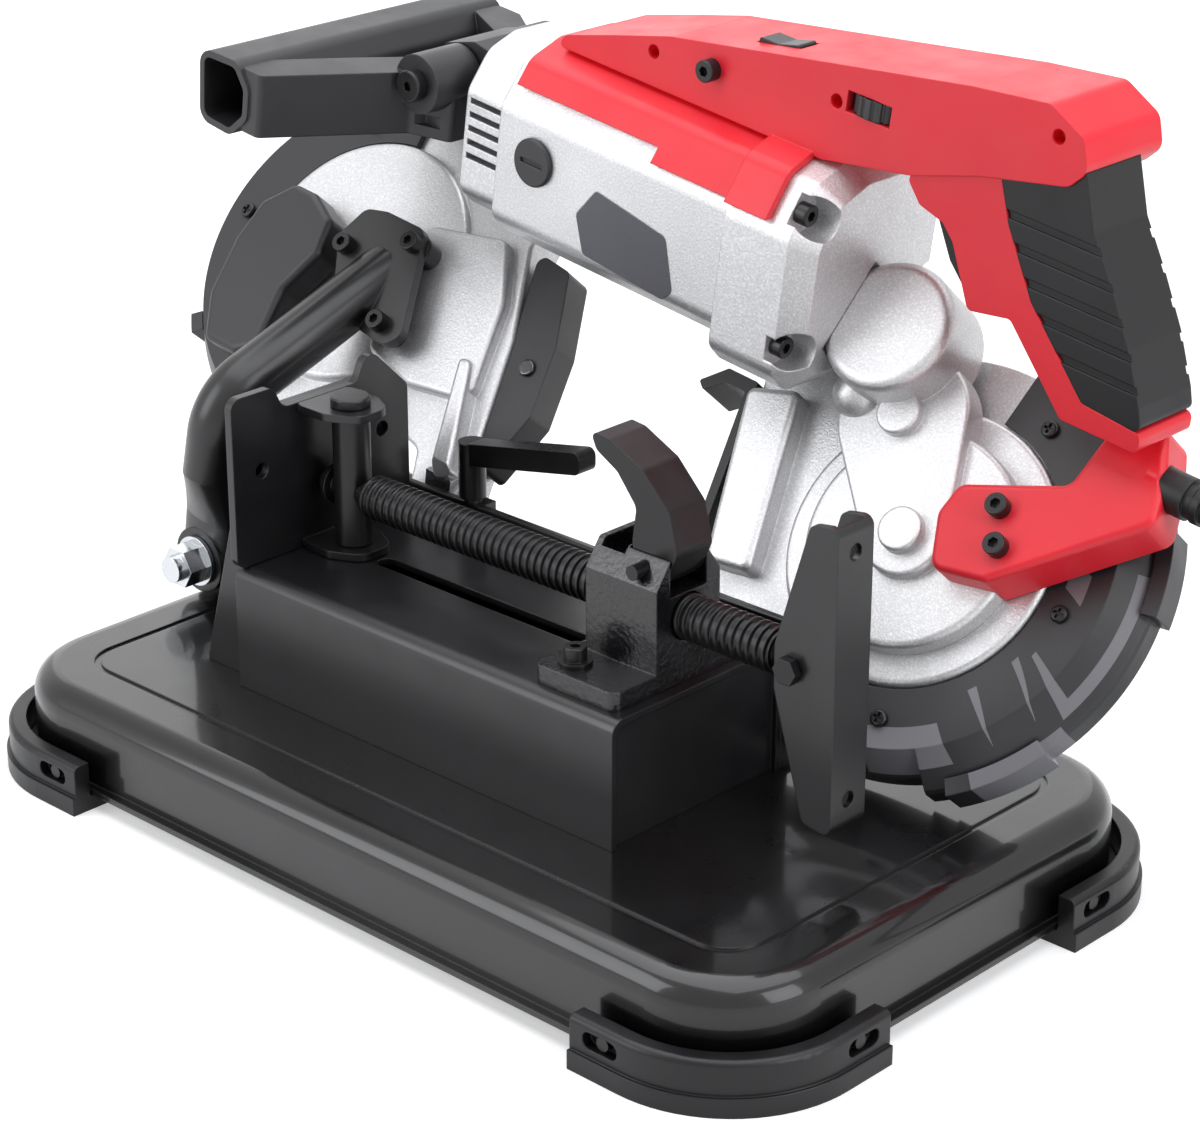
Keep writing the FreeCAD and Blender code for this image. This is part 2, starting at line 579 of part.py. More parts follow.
def cross_head(radius=cross_r, high=cross_high, shank=0.0):
    """Cross recess screw standing on Z zero, shank below."""
    head = soften(Part.makeCylinder(radius, high), high, high / 2)
    arm, thin, deep = radius * cross_arm_share, radius * cross_thin_share, high * cross_deep_share
    key = box(-arm, arm, -thin, thin, high - deep, high + over)
    key = key.fuse(box(-thin, thin, -arm, arm, high - deep, high + over))
    head = head.cut(key)
    if shank > 0:
        head = head.fuse(Part.makeCylinder(shank_r / 2, shank, Vec(0, 0, -shank))).removeSplitter()
    return head


def hexagon_prism(across_r, low, high):
    corners = [(across_r * math.cos(i * math.pi * 2 / hexagon), across_r * math.sin(i * math.pi * 2 / hexagon), low)
               for i in range(hexagon)]
    return Part.Face(polygon(corners)).extrude(Vec(0, 0, high - low))


def sector(radius, start_deg, end_deg, low, high):
    """Wedge of a disc about the Z axis, angles from X."""
    piece = Part.makeCylinder(radius, high - low, Vec(0, 0, low), Vec(0, 0, 1), end_deg - start_deg)
    piece.rotate(Vec(0, 0, 0), Vec(0, 0, 1), start_deg)
    return piece


def gear(teeth, module, low, high, phase_deg, bore=0.0):
    """Spur gear about Z with straight sided teeth, one tooth at the phase angle."""
    pitch_r = teeth * module / 2
    tip = pitch_r + module * tip_share
    root = pitch_r - module * root_share
    half = quarter_turn / teeth * (1 - gear_slack_share)
    points = []
    for i in range(teeth):
        centre = phase_deg + whole_turn * i / teeth
        for radius, share in ((root, -root_width_share), (tip, -tip_width_share), (tip, tip_width_share),
                              (root, root_width_share)):
            turn = math.radians(centre + half * share)
            points.append((radius * math.cos(turn), radius * math.sin(turn), low))
    face = Part.Face(polygon(points))
    wheel = face.extrude(Vec(0, 0, high - low))
    if bore > 0:
        wheel = wheel.cut(post(bore, 0, 0, low - over, high + over))
    return wheel


def bevel(teeth, pitch_r, mate_r, phase_deg, hub_r, hub_long):
    """Bevel gear with its cone point at the origin, axis along Z, one tooth at the phase angle."""
    cone = math.atan2(pitch_r, mate_r)
    slant = math.hypot(pitch_r, mate_r)
    module = 2 * pitch_r / teeth
    raise_by = module * tip_share
    sink = module * root_share
    half = math.pi * module / 4 * (1 - gear_slack_share)
    buried = module * buried_share

    def at(distance, height):
        scale = distance / slant
        radius = distance * math.sin(cone) + height * scale * math.cos(cone)
        return radius, distance * math.cos(cone) - height * scale * math.sin(cone)

    inner = slant - bevel_face
    blank = [(0, at(inner, -sink)[1]), at(inner, -sink), at(slant, -sink),
             (hub_r, at(slant, -sink)[1] + hub_long), (0, at(slant, -sink)[1] + hub_long)]
    solids = [lathe(blank)]
    for i in range(teeth):
        turn = math.radians(phase_deg + whole_turn * i / teeth)
        wires = []
        for distance in (inner, slant):
            scale = distance / slant
            corners = []
            for height, share in ((-sink - buried, -root_width_share), (raise_by, -tip_width_share),
                                  (raise_by, tip_width_share), (-sink - buried, root_width_share)):
                radius, level = at(distance, height)
                side = half * share * scale
                corners.append((radius * math.cos(turn) - side * math.sin(turn),
                                radius * math.sin(turn) + side * math.cos(turn), level))
            wires.append(polygon(corners))
        solids.append(Part.makeLoft(wires, True, True))
    return join(solids)


# Stand

def build_pan():
    corners = ((pan_x0, pan_y0), (pan_x1, pan_y1))
    body = soften(prism(grown(corners, 0), pan_corner, pan_low, pan_top), pan_top, pan_edge)
    inside = soften(prism(grown(corners, -pan_sheet), pan_corner - pan_sheet, pan_low - over, pan_top - pan_sheet),
                    pan_top - pan_sheet, pan_edge - pan_sheet)
    lip = prism(grown(corners, lip_out), pan_corner + lip_out, pan_low, pan_low + lip_high)
    groove = prism(grown(corners, -groove_inset), pan_corner - groove_inset, pan_top - groove_deep, pan_top + over)
    groove = groove.cut(prism(grown(corners, -groove_inset - groove_wide), pan_corner - groove_inset - groove_wide,
                              pan_low, pan_top + 2))
    nodes["base_pan"] = join([body, lip]).cut(inside).cut(groove)


def build_feet():
    corners = ((pan_x0, pan_y0), (pan_x1, pan_y1))
    ring = soften(prism(grown(corners, foot_out), pan_corner + foot_out, 0, foot_high), foot_high, lip_high)
    ring = join([ring, prism(grown(corners, foot_step_out), pan_corner + foot_step_out, 0, foot_step_high)])
    ring = ring.cut(prism(grown(corners, lip_out + foot_gap), pan_corner + lip_out + foot_gap,
                          pan_low - foot_gap, foot_high + over))
    ring = ring.cut(prism(grown(corners, -foot_in), pan_corner - foot_in, -1, foot_high))
    feet = []
    screws = []
    out_x0, out_x1 = pan_x0 - foot_step_out, pan_x1 + foot_step_out
    out_y0, out_y1 = pan_y0 - foot_step_out, pan_y1 + foot_step_out
    for x0, x1 in ((out_x0, out_x0 + foot_leg), (out_x1 - foot_leg, out_x1)):
        for y0, y1 in ((out_y0, out_y0 + foot_leg), (out_y1 - foot_leg, out_y1)):
            foot = ring.common(box(x0, x1, y0, y1, -1, foot_high + over))
            at_left, at_front = x0 == out_x0, y0 == out_y0
            slot_x = x1 - foot_slot_from_end if at_left else x0 + foot_slot_from_end
            slot_y = y1 - foot_slot_from_end if at_front else y0 + foot_slot_from_end
            face_x = pan_x0 - foot_out if at_left else pan_x1 + foot_out
            face_y = pan_y0 - foot_out if at_front else pan_y1 + foot_out
            half_long, half_high = foot_slot_long / 2, foot_slot_high / 2
            outline = [(-half_long, -half_high), (half_long, -half_high), (half_long, half_high),
                       (-half_long, half_high)]
            hole = prism(outline, half_high, -foot_slot_deep, foot_slot_deep)
            front = across(hole.copy())
            front.translate(Vec(slot_x, face_y, foot_slot_z))
            side = endways(hole.copy())
            side.translate(Vec(face_x, slot_y, foot_slot_z))
            feet.append(foot.cut(front).cut(side))
            inward_y = 1 if at_front else -1
            inward_x = 1 if at_left else -1
            seat_y = face_y + inward_y * (foot_slot_deep - tiny)
            seat_x = face_x + inward_x * (foot_slot_deep - tiny)
            screws.append(rod(foot_screw_r, (slot_x, seat_y - inward_y * foot_screw_high, foot_slot_z),
                              (slot_x, seat_y, foot_slot_z)))
            screws.append(rod(foot_screw_r, (seat_x - inward_x * foot_screw_high, slot_y, foot_slot_z),
                              (seat_x, slot_y, foot_slot_z)))
    nodes["feet"] = group(feet)
    nodes["feet_screws"] = group(screws)


# Vise

def build_bed():
    outer = [(bed_y0, pan_top - bed_bend * 2), (bed_y1, pan_top - bed_bend * 2), (bed_y1, bed_top), (bed_y0, bed_top)]
    inner = [(bed_y0 + bed_sheet, pan_top - bed_bend * 3), (bed_y1 - bed_sheet, pan_top - bed_bend * 3),
             (bed_y1 - bed_sheet, bed_top - bed_sheet), (bed_y0 + bed_sheet, bed_top - bed_sheet)]
    shell = end_prism(outer, bed_bend, bed_x0, bed_x1)
    shell = shell.cut(end_prism(inner, bed_bend - bed_sheet, bed_x0 - over, bed_x1 + over))
    ends = [end_prism(inner, bed_bend - bed_sheet, bed_x0 + bed_end_inset, bed_x0 + bed_end_inset + bed_sheet),
            end_prism(inner, bed_bend - bed_sheet, bed_x1 - bed_end_inset - bed_sheet, bed_x1 - bed_end_inset)]
    bed = join([shell] + ends)
    bed = bed.cut(box(bed_x0 - reach, bed_x1 + reach, bed_y0 - reach, bed_y1 + reach, pan_top - reach, pan_top + tiny))
    half = slot_wide / 2
    slot = prism([(slot_x0, screw_y - half), (slot_x1, screw_y - half), (slot_x1, screw_y + half),
                  (slot_x0, screw_y + half)], half, bed_top - bed_sheet - over, bed_top + over)
    nodes["bed_channel"] = bed.cut(slot)
    leg = [(rail_y0, pan_top + tiny), (rail_y0 + rail_foot, pan_top + tiny),
           (rail_y0 + rail_foot, pan_top + rail_sheet), (rail_y0 + rail_sheet, pan_top + rail_sheet),
           (rail_y0 + rail_sheet, rail_top), (rail_y0, rail_top)]
    nodes["rear_rail"] = end_prism(leg, rail_sheet / 4, bed_x0, bed_x1)


def build_jaws():
    near_edge, far_edge = jaw_y0 + jaw_wing_near, jaw_y1 - jaw_wing_far
    outline = [(jaw_y0, jaw_low), (jaw_y1, jaw_low), (jaw_y1, jaw_top - jaw_slope), (jaw_y1 - jaw_flat, jaw_top),
               (far_edge, jaw_top - tiny), (far_edge - jaw_corner, jaw_notch), (near_edge + jaw_corner, jaw_notch),
               (near_edge, jaw_top), (jaw_y0, jaw_top)]
    plate = end_prism(outline, jaw_corner, jaw_x0, jaw_x1)
    for y in (jaw_y0 + jaw_hole_in, jaw_y1 - jaw_hole_in):
        plate = plate.cut(rod(jaw_hole_r, (jaw_x0 - over, y, jaw_hole_z), (jaw_x1 + over, y, jaw_hole_z)))
    half = tab_wide / 2
    tab = [(jaw_x0 + over, screw_y - half), (tube_x, screw_y - half), (tab_x1, screw_y - tube_r),
           (tab_x1, screw_y + tube_r), (tube_x, screw_y + half), (jaw_x0 + over, screw_y + half)]
    tabs = []
    for low in (jaw_low, tube_high + seam):
        piece = prism(tab, tube_r, low, low + tab_thick)
        tabs.append(piece.cut(post(pin_r + run_gap, tube_x, screw_y, low - over, low + tab_thick + over)))
    nodes["movable_jaw"] = join([plate] + tabs)
    tube = post(tube_r, tube_x, screw_y, tube_low, tube_high)
    tube = tube.cut(rod(screw_neck_r + run_gap, (tube_x - tube_r * 2, screw_y, screw_z),
                        (tube_x + tube_r * 2, screw_y, screw_z)))
    pin_low = post(pin_r, tube_x, screw_y, jaw_low + tiny, tube_low + tiny)
    top = tube_high + seam + tab_thick
    pin_high = post(pin_r, tube_x, screw_y, tube_high - tiny, top + seam)
    head = soften(post(pin_head_r, tube_x, screw_y, top + seam, top + seam + pin_head_high), top + seam + pin_head_high, 1)
    nodes["pivot_tube"] = join([tube, pin_low, pin_high, head])
    wall = box(fixed_jaw_x0, fixed_jaw_x1, fixed_jaw_y0, fixed_jaw_y1, pan_top + tiny, fixed_jaw_top)
    foot = box(fixed_jaw_x0 - fixed_jaw_flange, fixed_jaw_x1, fixed_jaw_y0, fixed_jaw_y1, pan_top + tiny,
               pan_top + fixed_jaw_sheet)
    gusset_low, gusset_high = pan_top + fixed_jaw_sheet - over, fixed_jaw_gusset
    gussets = []
    for y in (fixed_jaw_y0, fixed_jaw_y1 - fixed_jaw_sheet):
        web = [(fixed_jaw_x0 + over, gusset_low), (fixed_jaw_x0 + over, gusset_high),
               (fixed_jaw_x0 - fixed_jaw_flange, gusset_low)]
        gussets.append(side_prism(web, fixed_jaw_sheet / 2, y, y + fixed_jaw_sheet))
    nodes["fixed_jaw"] = join([wall, foot] + gussets)


def build_screw():
    core = screw_r - thread_depth
    flat_share = 0.22
    profile = [(0, screw_x0), (core, screw_x0)]
    count = int((screw_x1 - screw_x0) / thread_pitch)
    for i in range(count):
        base = screw_x0 + i * thread_pitch
        profile.append((core, base + thread_pitch * flat_share))
        profile.append((screw_r, base + thread_pitch * (0.5 - flat_share / 2)))
        profile.append((screw_r, base + thread_pitch * (0.5 + flat_share / 2)))
        profile.append((core, base + thread_pitch * (1 - flat_share)))
    end = screw_x0 + count * thread_pitch
    profile.extend([(core, end), (screw_tail_r, end), (screw_tail_r, screw_tail_x1), (0, screw_tail_x1)])
    body = lathe(profile)
    neck_x0 = jaw_x1 + 2
    neck = post(screw_neck_r, 0, 0, neck_x0, screw_x0 + tiny)
    washer_x = tube_x - tube_r - washer_thick - seam
    washer = post(washer_r, 0, 0, washer_x, washer_x + washer_thick)
    screw = join([body, neck, washer])
    screw = endways(screw)
    screw.translate(Vec(0, screw_y, screw_z))
    hole = rod(crank_pin_r + run_gap, (crank_pin_x, screw_y - reach, screw_z), (crank_pin_x, screw_y + reach, screw_z))
    nodes["vise_screw"] = screw.cut(hole)
    half = crank_wide / 2
    outside = side_prism(crank_outline, crank_round, screw_y - half, screw_y + half)
    web_in = crank_web_x - crank_sheet
    hollow = box(crank_web_x - reach, web_in, screw_y - half + crank_sheet, screw_y + half - crank_sheet, 0, reach)
    crank = outside.cut(hollow).cut(hole)
    crank = crank.cut(rod(crank_hole_r, (web_in - over, screw_y, crank_hole_z), (crank_web_x + over, screw_y, crank_hole_z)))
    crank = crank.cut(rod(crank_hole_r, (web_in - over, screw_y, 2 * screw_z - crank_hole_z),
                          (crank_web_x + over, screw_y, 2 * screw_z - crank_hole_z)))
    nodes["crank_handle"] = crank
    low = screw_y - half - crank_head_high
    pin = join([rod(crank_pin_r, (crank_pin_x, low, screw_z), (crank_pin_x, screw_y + half + crank_head_high, screw_z)),
                moved(across(hexagon_prism(crank_pin_head, seam, crank_head_high + seam)), crank_pin_x,
                      screw_y - half, screw_z),
                moved(across(hexagon_prism(crank_pin_head, seam, crank_head_high + seam)), crank_pin_x,
                      screw_y + half + crank_head_high + 2 * seam, screw_z)])
    nodes["crank_pin"] = pin


def build_nut_block():
    low = bed_top + tiny
    body = end_prism([(block_y0, low), (block_y1, low), (block_y1, block_shoulder), (block_y1 - block_chamfer, block_top),
                      (block_y0 + block_chamfer, block_top), (block_y0, block_shoulder)], block_round, block_x0, block_x1)
    foot = prism([(block_foot_x0, block_foot_y0), (block_x1, block_foot_y0), (block_x1, block_foot_y1),
                  (block_foot_x0, block_foot_y1)], block_round * 2, low, low + block_foot_high)
    body = join([body, foot])
    body = body.cut(rod(screw_r + nut_bore_gap, (block_x0 - over, screw_y, screw_z), (block_x1 + over, screw_y, screw_z)))
    half = half_nut_wide / 2
    pocket = box(half_nut_x0 - nut_gap, half_nut_x1 + nut_gap, screw_y - half - nut_gap, screw_y + half + nut_gap,
                 screw_z + half_nut_lift - over, reach)
    body = body.cut(pocket)
    body = body.cut(box(half_nut_x1 + over, block_x1 + over, screw_y - lever_wide / 2 - seam,
                        screw_y + lever_wide / 2 + seam, screw_z + screw_r + over, reach))
    pin_hole = rod(lever_pin_r + run_gap, (lever_pin_x, block_y0 - over, lever_pin_z), (lever_pin_x, block_y1 + over, lever_pin_z))
    body = body.cut(pin_hole)
    for y in (block_bolt_near, block_bolt_far):
        body = body.cut(post(shank_r + bolt_gap, block_bolt_x, y, 0, low + block_foot_high + over))
    nodes["nut_block"] = body
    bed_holes = nodes["bed_channel"]
    fixings = []
    for y in (block_bolt_near, block_bolt_far):
        bed_holes = bed_holes.cut(post(shank_r + bolt_gap, block_bolt_x, y, bed_top - bed_sheet * 2, reach))
        washer_low = low + block_foot_high + tiny
        washer = post(head_r + plain_washer, block_bolt_x, y, washer_low, washer_low + plain_washer_high)
        washer = washer.cut(post(shank_r + bolt_gap, block_bolt_x, y, 0, reach))
        bolt = socket_head(shank=block_foot_high + block_bolt_past)
        fixings.extend([washer, moved(bolt, block_bolt_x, y, washer_low + plain_washer_high + tiny)])
    fixings.append(rod(lever_pin_r, (lever_pin_x, block_y0 - lever_pin_past, lever_pin_z), (lever_pin_x, block_y1 + lever_pin_past, lever_pin_z)))
    nodes["bed_channel"] = bed_holes
    nodes["stand_fixings"] = group(fixings)
    nut = box(half_nut_x0, half_nut_x1, screw_y - half, screw_y + half, screw_z + half_nut_lift, screw_z + half_nut_lift + half_nut_high)
    nut = nut.cut(rod(screw_r + run_gap, (half_nut_x0 - over, screw_y, screw_z), (half_nut_x1 + over, screw_y, screw_z)))
    nodes["half_nut"] = nut
    lever = side_prism(lever_outline, lever_round, screw_y - lever_wide / 2, screw_y + lever_wide / 2)
    lever = lever.cut(pin_hole)
    nodes["release_lever"] = lever


def build_clamp():
    tab = box(clamp_x - clamp_tab_half, clamp_x + clamp_tab_half, rail_y0, clamp_y + clamp_hub_r,
              rail_top - clamp_tab_thick, rail_top)
    stud = post(stud_r, clamp_x, clamp_y, rail_top - tiny, stud_high)
    nodes["rear_rail"] = join([nodes["rear_rail"], tab, stud])
    top = stud_high + clamp_hub_top
    hub = post(clamp_hub_r, clamp_x, clamp_y, stud_high - clamp_hub_high, top)
    half = clamp_wide / 2
    bar = side_prism([(clamp_x, top - clamp_thick), (clamp_x + clamp_long, top - clamp_thick + clamp_rise),
                      (clamp_x + clamp_long, top + clamp_rise), (clamp_x, top)], clamp_thick / 3, clamp_y - half,
                     clamp_y + half)
    stud_hole = post(stud_r + run_gap, clamp_x, clamp_y, 0, stud_high + seam)
    nodes["clamp_lever"] = join([hub, bar]).cut(stud_hole)


# Pivot and swing arm

def build_pivot():
    low = pan_top + tiny
    upright = side_prism([(bracket_x0, low), (bracket_x1, low), (pivot_x + ear_half, pivot_z + ear_side), (pivot_x, pivot_z + ear_top),
                          (pivot_x - ear_half, pivot_z + ear_side)], ear_round, bracket_y0, bracket_y0 + bracket_sheet)
    foot = box(bracket_x0, bracket_x1, bracket_y0, bracket_y1, low, low + bracket_sheet)
    hole = rod(pivot_bolt_r + run_gap, (pivot_x, -reach, pivot_z), (pivot_x, reach, pivot_z))
    nodes["pivot_bracket"] = join([upright, foot]).cut(hole)
    front = arm_y - arm_flat / 2 - seam
    washers = []
    y = front - pivot_washer
    bolt = rod(pivot_bolt_r, (pivot_x, y - pivot_nut_high - pivot_tail, pivot_z), (pivot_x, bracket_y0 + bracket_sheet + over, pivot_z))
    washers.append(rod(pivot_washer_r, (pivot_x, y, pivot_z), (pivot_x, front, pivot_z)))
    nut = across(hexagon_prism(pivot_head_r, 0, pivot_nut_high))
    nut.translate(Vec(pivot_x, y, pivot_z))
    head = across(hexagon_prism(pivot_head_r, 0, pivot_bolt_head))
    head.translate(Vec(pivot_x, bracket_y0 + bracket_sheet + pivot_bolt_head + tiny, pivot_z))
    nodes["stand_fixings"] = group([nodes["stand_fixings"], nodes.pop("feet_screws"), join([bolt, nut, head] + washers)])
    return hole


def oval(centre, across_half, deep_half, way, lift):
    """Closed oval section, wide along the lift vector's side."""
    side = way.cross(lift).normalize()
    ring = Part.Ellipse()
    ring.MajorRadius = max(across_half, deep_half + tiny)
    ring.MinorRadius = deep_half
    wire = Part.Wire(ring.toShape())
    up = side.cross(way).normalize()
    frame = FreeCAD.Matrix(up.x, side.x, way.x, centre.x, up.y, side.y, way.y, centre.y, up.z, side.z, way.z, centre.z,
                           0, 0, 0, 1)
    wire.Placement = FreeCAD.Placement(frame)
    return wire


def build_swing_arm(hole):
    eye = rod(arm_flat_wide, (pivot_x, arm_y - arm_flat / 2, pivot_z), (pivot_x, arm_y + arm_flat / 2, pivot_z))
    start = Vec(pivot_x, arm_y, pivot_z)
    rise = Vec(arm_rise_x, arm_y, arm_rise_z)
    bend = Vec(arm_bend_x, arm_y, arm_bend_z)
    up = (rise - start).normalize()
    sections = [oval(start + up * arm_flat_from, arm_flat_wide - arm_inset, arm_flat / 2 - arm_inset, up, Vec(1, 0, 0)),
                oval(start + up * arm_flat_to, arm_flat_wide - arm_inset, arm_flat / 2 - arm_inset / 2, up, Vec(1, 0, 0)),
                oval(rise, arm_r, arm_r, up, Vec(1, 0, 0))]
    lower = Part.makeLoft(sections, True, True)
    landing = plate_point(landing_x, landing_w, plate_low)
    past = landing + (landing - bend).normalize() * arm_r
    upper = tube([tuple(rise), tuple(bend), tuple(past)], arm_r)
    arm = join([eye, lower, upper]).cut(hole)
    plate = prism(plate_outline, plate_round, plate_low, plate_high)
    for x, w in mount_bolts:
        plate = plate.cut(post(shank_r + bolt_gap, x, w, plate_low - over, plate_high + over))
    plate = stand_saw(lean(plate))
    below = post(arm_trim_r, landing_x, landing_w, plate_low - arm_trim_r, plate_low + tiny)
    arm = arm.cut(stand_saw(lean(below)))
    spacers = []
    for (x, w), base in zip(mount_bolts, (0, panel_high, panel_high)):
        ring = post(head_r + spacer_wall, x, w, base + tiny, plate_low + tiny)
        spacers.append(stand_saw(lean(ring.cut(post(shank_r + bolt_gap, x, w, 0, plate_low + over)))))
    nodes["swing_arm"] = join([arm, plate] + spacers)


def plate_point(x, w, n):
    spot = Part.Vertex(x, w, n)
    return stand_saw(lean(spot)).Point


# Saw frame and guards

def build_frame():
    discs = []
    for x in (-half_span, half_span):
        disc = soften(post(disc_r, x, 0, disc_low, 0), 0, disc_edge)
        discs.extend([disc, post(flange_r, x, 0, disc_low, flange_high)])
    spine = prism([(spine_x0, spine_w0), (spine_x1, spine_w0), (spine_x1, spine_w1), (spine_x0, spine_w1)], spine_corner,
                  spine_n0, spine_n1)
    left = soften(prism(left_arm, casting_corner, arm_low, arm_high), arm_high, casting_edge)
    panel = soften(prism(left_panel, panel_corner, arm_low, panel_high), panel_high, disc_edge)
    rib = soften(prism(left_rib, rib_corner, arm_low, rib_high), rib_high, casting_edge)
    right = soften(prism(right_arm, casting_corner, arm_low, arm_high), arm_high, casting_edge)
    wedge = soften(prism(right_wedge, spine_corner, arm_low, wedge_high), wedge_high, rib_corner)
    frame = join(discs + [spine, left, panel, rib, right, wedge])
    for x in (-half_span, half_span):
        frame = frame.cut(post(wheel_room_r, x, 0, arm_low - over, disc_low))
    frame = frame.cut(box(-half_span, half_span, spine_slot_w0, spine_slot_w1, arm_low - over, spine_slot_n1))
    frame = frame.cut(box(-half_span, half_span, blade_slot_w0, blade_slot_w1, arm_low - over, blade_slot_n1))
    frame = lean(frame)
    frame = frame.cut(box(-reach, reach, -reach, front_limit, -reach, front_limit_top))
    frame = unlean(frame)
    frame = frame.cut(post(bearing_big_r + bearing_gap, half_span, 0, -reach, reach))
    bx, bw = idler_place()
    frame = frame.cut(post(bearing_small_r + bearing_gap, bx, bw, disc_low - over, over))
    return frame


def idler_place():
    turn = math.radians(idler_turn_deg)
    distance = (idler_pinion_teeth + drive_teeth) * drive_module / 2 + mesh_extra
    return half_span + distance * math.cos(turn), distance * math.sin(turn)


def cross_place():
    x, w = idler_place()
    turn = math.radians(cross_turn_deg)
    distance = (cross_teeth + idler_gear_teeth) * drive_module / 2 + mesh_extra
    return x + distance * math.cos(turn), w + distance * math.sin(turn)


def guard_profile(radius):
    slope_r = radius - over
    return [(guard_in_r, guard_top), (guard_face_r, guard_top), (slope_r, guard_slope_low), (radius, guard_slope_low - guard_lip),
            (radius, guard_low), (radius - guard_wall, guard_low), (radius - guard_wall, guard_slope_low - guard_lip * 5 / 4),
            (guard_face_r - guard_inset, guard_top - guard_wall + tiny), (guard_in_r, guard_top - guard_wall + tiny)]


def build_guards():
    right = lathe(guard_profile(guard_r)).common(sector(reach, guard_step_deg, guard_end_deg, -reach, reach))
    low = lathe(guard_profile(guard_small_r)).common(sector(reach, guard_start_deg, guard_step_deg + seam, -reach, reach))
    inside = post(guard_r - guard_wall, 0, 0, -reach, reach)
    bumps = [sector(bump_r, start, end, guard_low, bump_high).cut(inside) for start, end in bump_degs]
    guard = join([right, low] + bumps)
    guard.translate(Vec(half_span, 0, 0))
    left = lathe(guard_profile(guard_small_r)).common(sector(reach, cover_start_deg, cover_end_deg, -reach, reach))
    ribs = []
    for turn in cover_rib_degs:
        ribs.append(sector(guard_small_r + cover_rib, turn - cover_rib, turn + cover_rib, guard_low, bump_high).cut(
            post(guard_small_r - guard_wall, 0, 0, -reach, reach)))
    cover = join([left] + ribs)
    cover.translate(Vec(-half_span, 0, 0))
    return guard, cover


# Motor, end bell and gear cap

def seat_cut():
    """Everything behind the plane on which the motor sits."""
    block = box(-reach, reach, -reach, reach, -reach, seat_n)
    return lean(block)


def build_motor():
    under = seat_cut()
    barrel = end_prism(barrel_outline, barrel_round, barrel_x0, barrel_x1).cut(under)
    bore = rod(barrel_bore, (barrel_x0 - over, motor_y, motor_z), (barrel_x1 + over, motor_y, motor_z))
    barrel = barrel.cut(bore)
    recess = side_prism(plate_name, name_round, barrel_outline[0][0] - over, barrel_outline[0][0] + plate_name_deep)
    barrel = barrel.cut(recess)
    brush_hole = rod(brush_bore, (brush_x, -reach, brush_z), (brush_x, motor_y - commutator_r - gear_room, brush_z))
    brush_hole = brush_hole.fuse(rod(brush_bore, (brush_x, motor_y + commutator_r + gear_room, brush_z), (brush_x, reach, brush_z)))
    barrel = barrel.cut(brush_hole)
    name = side_prism(plate_name, name_round, barrel_outline[0][0] + tiny, barrel_outline[0][0] + plate_name_deep - tiny)
    keep_upright("nameplate", name)
    bell = end_prism(shrunk(barrel_outline, bell_step), barrel_round, bell_x0 + bell_step, barrel_x0 - seam)
    ends = []
    for level, inset in ((bell_x0, bell_step * 2), (bell_x0 + bell_step, bell_step)):
        wire = rounded(shrunk(barrel_outline, inset), barrel_round)
        wire.translate(Vec(0, 0, level))
        ends.append(endways(wire))
    bell = join([bell, Part.makeLoft(ends, True, True)]).cut(under)
    inside = rod(bell_bore, (bell_x0 + bell_wall, motor_y, motor_z), (barrel_x0 + over, motor_y, motor_z))
    bell = bell.cut(inside)
    bell = bell.cut(rod(bearing_r + bearing_gap, (bell_x0 + bell_step, motor_y, motor_z), (bell_x0 + bell_wall + over, motor_y, motor_z)))
    for i in range(vent_count):
        z = motor_z - vent_below + i * vent_step
        bell = bell.cut(box(barrel_x0 - vent_from, barrel_x0 - vent_from + vent_long, -reach, motor_y, z, z + vent_high))
    keep_upright("end_bell", bell)
    return barrel


def shrunk(points, amount):
    """Outline pulled toward its middle."""
    ys = [p[0] for p in points]
    zs = [p[1] for p in points]
    cy, cz = (min(ys) + max(ys)) / 2, (min(zs) + max(zs)) / 2
    ky = 1 - 2 * amount / (max(ys) - min(ys))
    kz = 1 - 2 * amount / (max(zs) - min(zs))
    return [(cy + (y - cy) * ky, cz + (z - cz) * kz) for y, z in points]


def second_place():
    distance = (pinion_teeth + second_teeth) * first_module / 2 + mesh_extra
    return motor_y, motor_z - distance


def case_outside(extra):
    """Outer form of the gear case in wheel plane numbers, grown by a clearance."""
    bx, bw = idler_place()
    ax, aw = cross_place()
    ring = post(ring_r + extra, half_span, 0, case_floor, ring_high + extra)
    top = capsule(half_span, 0, lobe_small_r + extra, bx, bw, lobe_r + extra, case_floor, lobe_high + extra)
    neck = post(neck_r + extra, ax, aw, case_floor, neck_high + extra)
    return [ring, top, neck]


def second_room():
    """Space for the gear on the second shaft, upright numbers."""
    sy, sz = second_place()
    tip = second_teeth * first_module / 2 + first_module + gear_room
    return rod(tip, (first_gear_x0 - gear_room, sy, sz), (first_gear_x1 + gear_room, sy, sz))


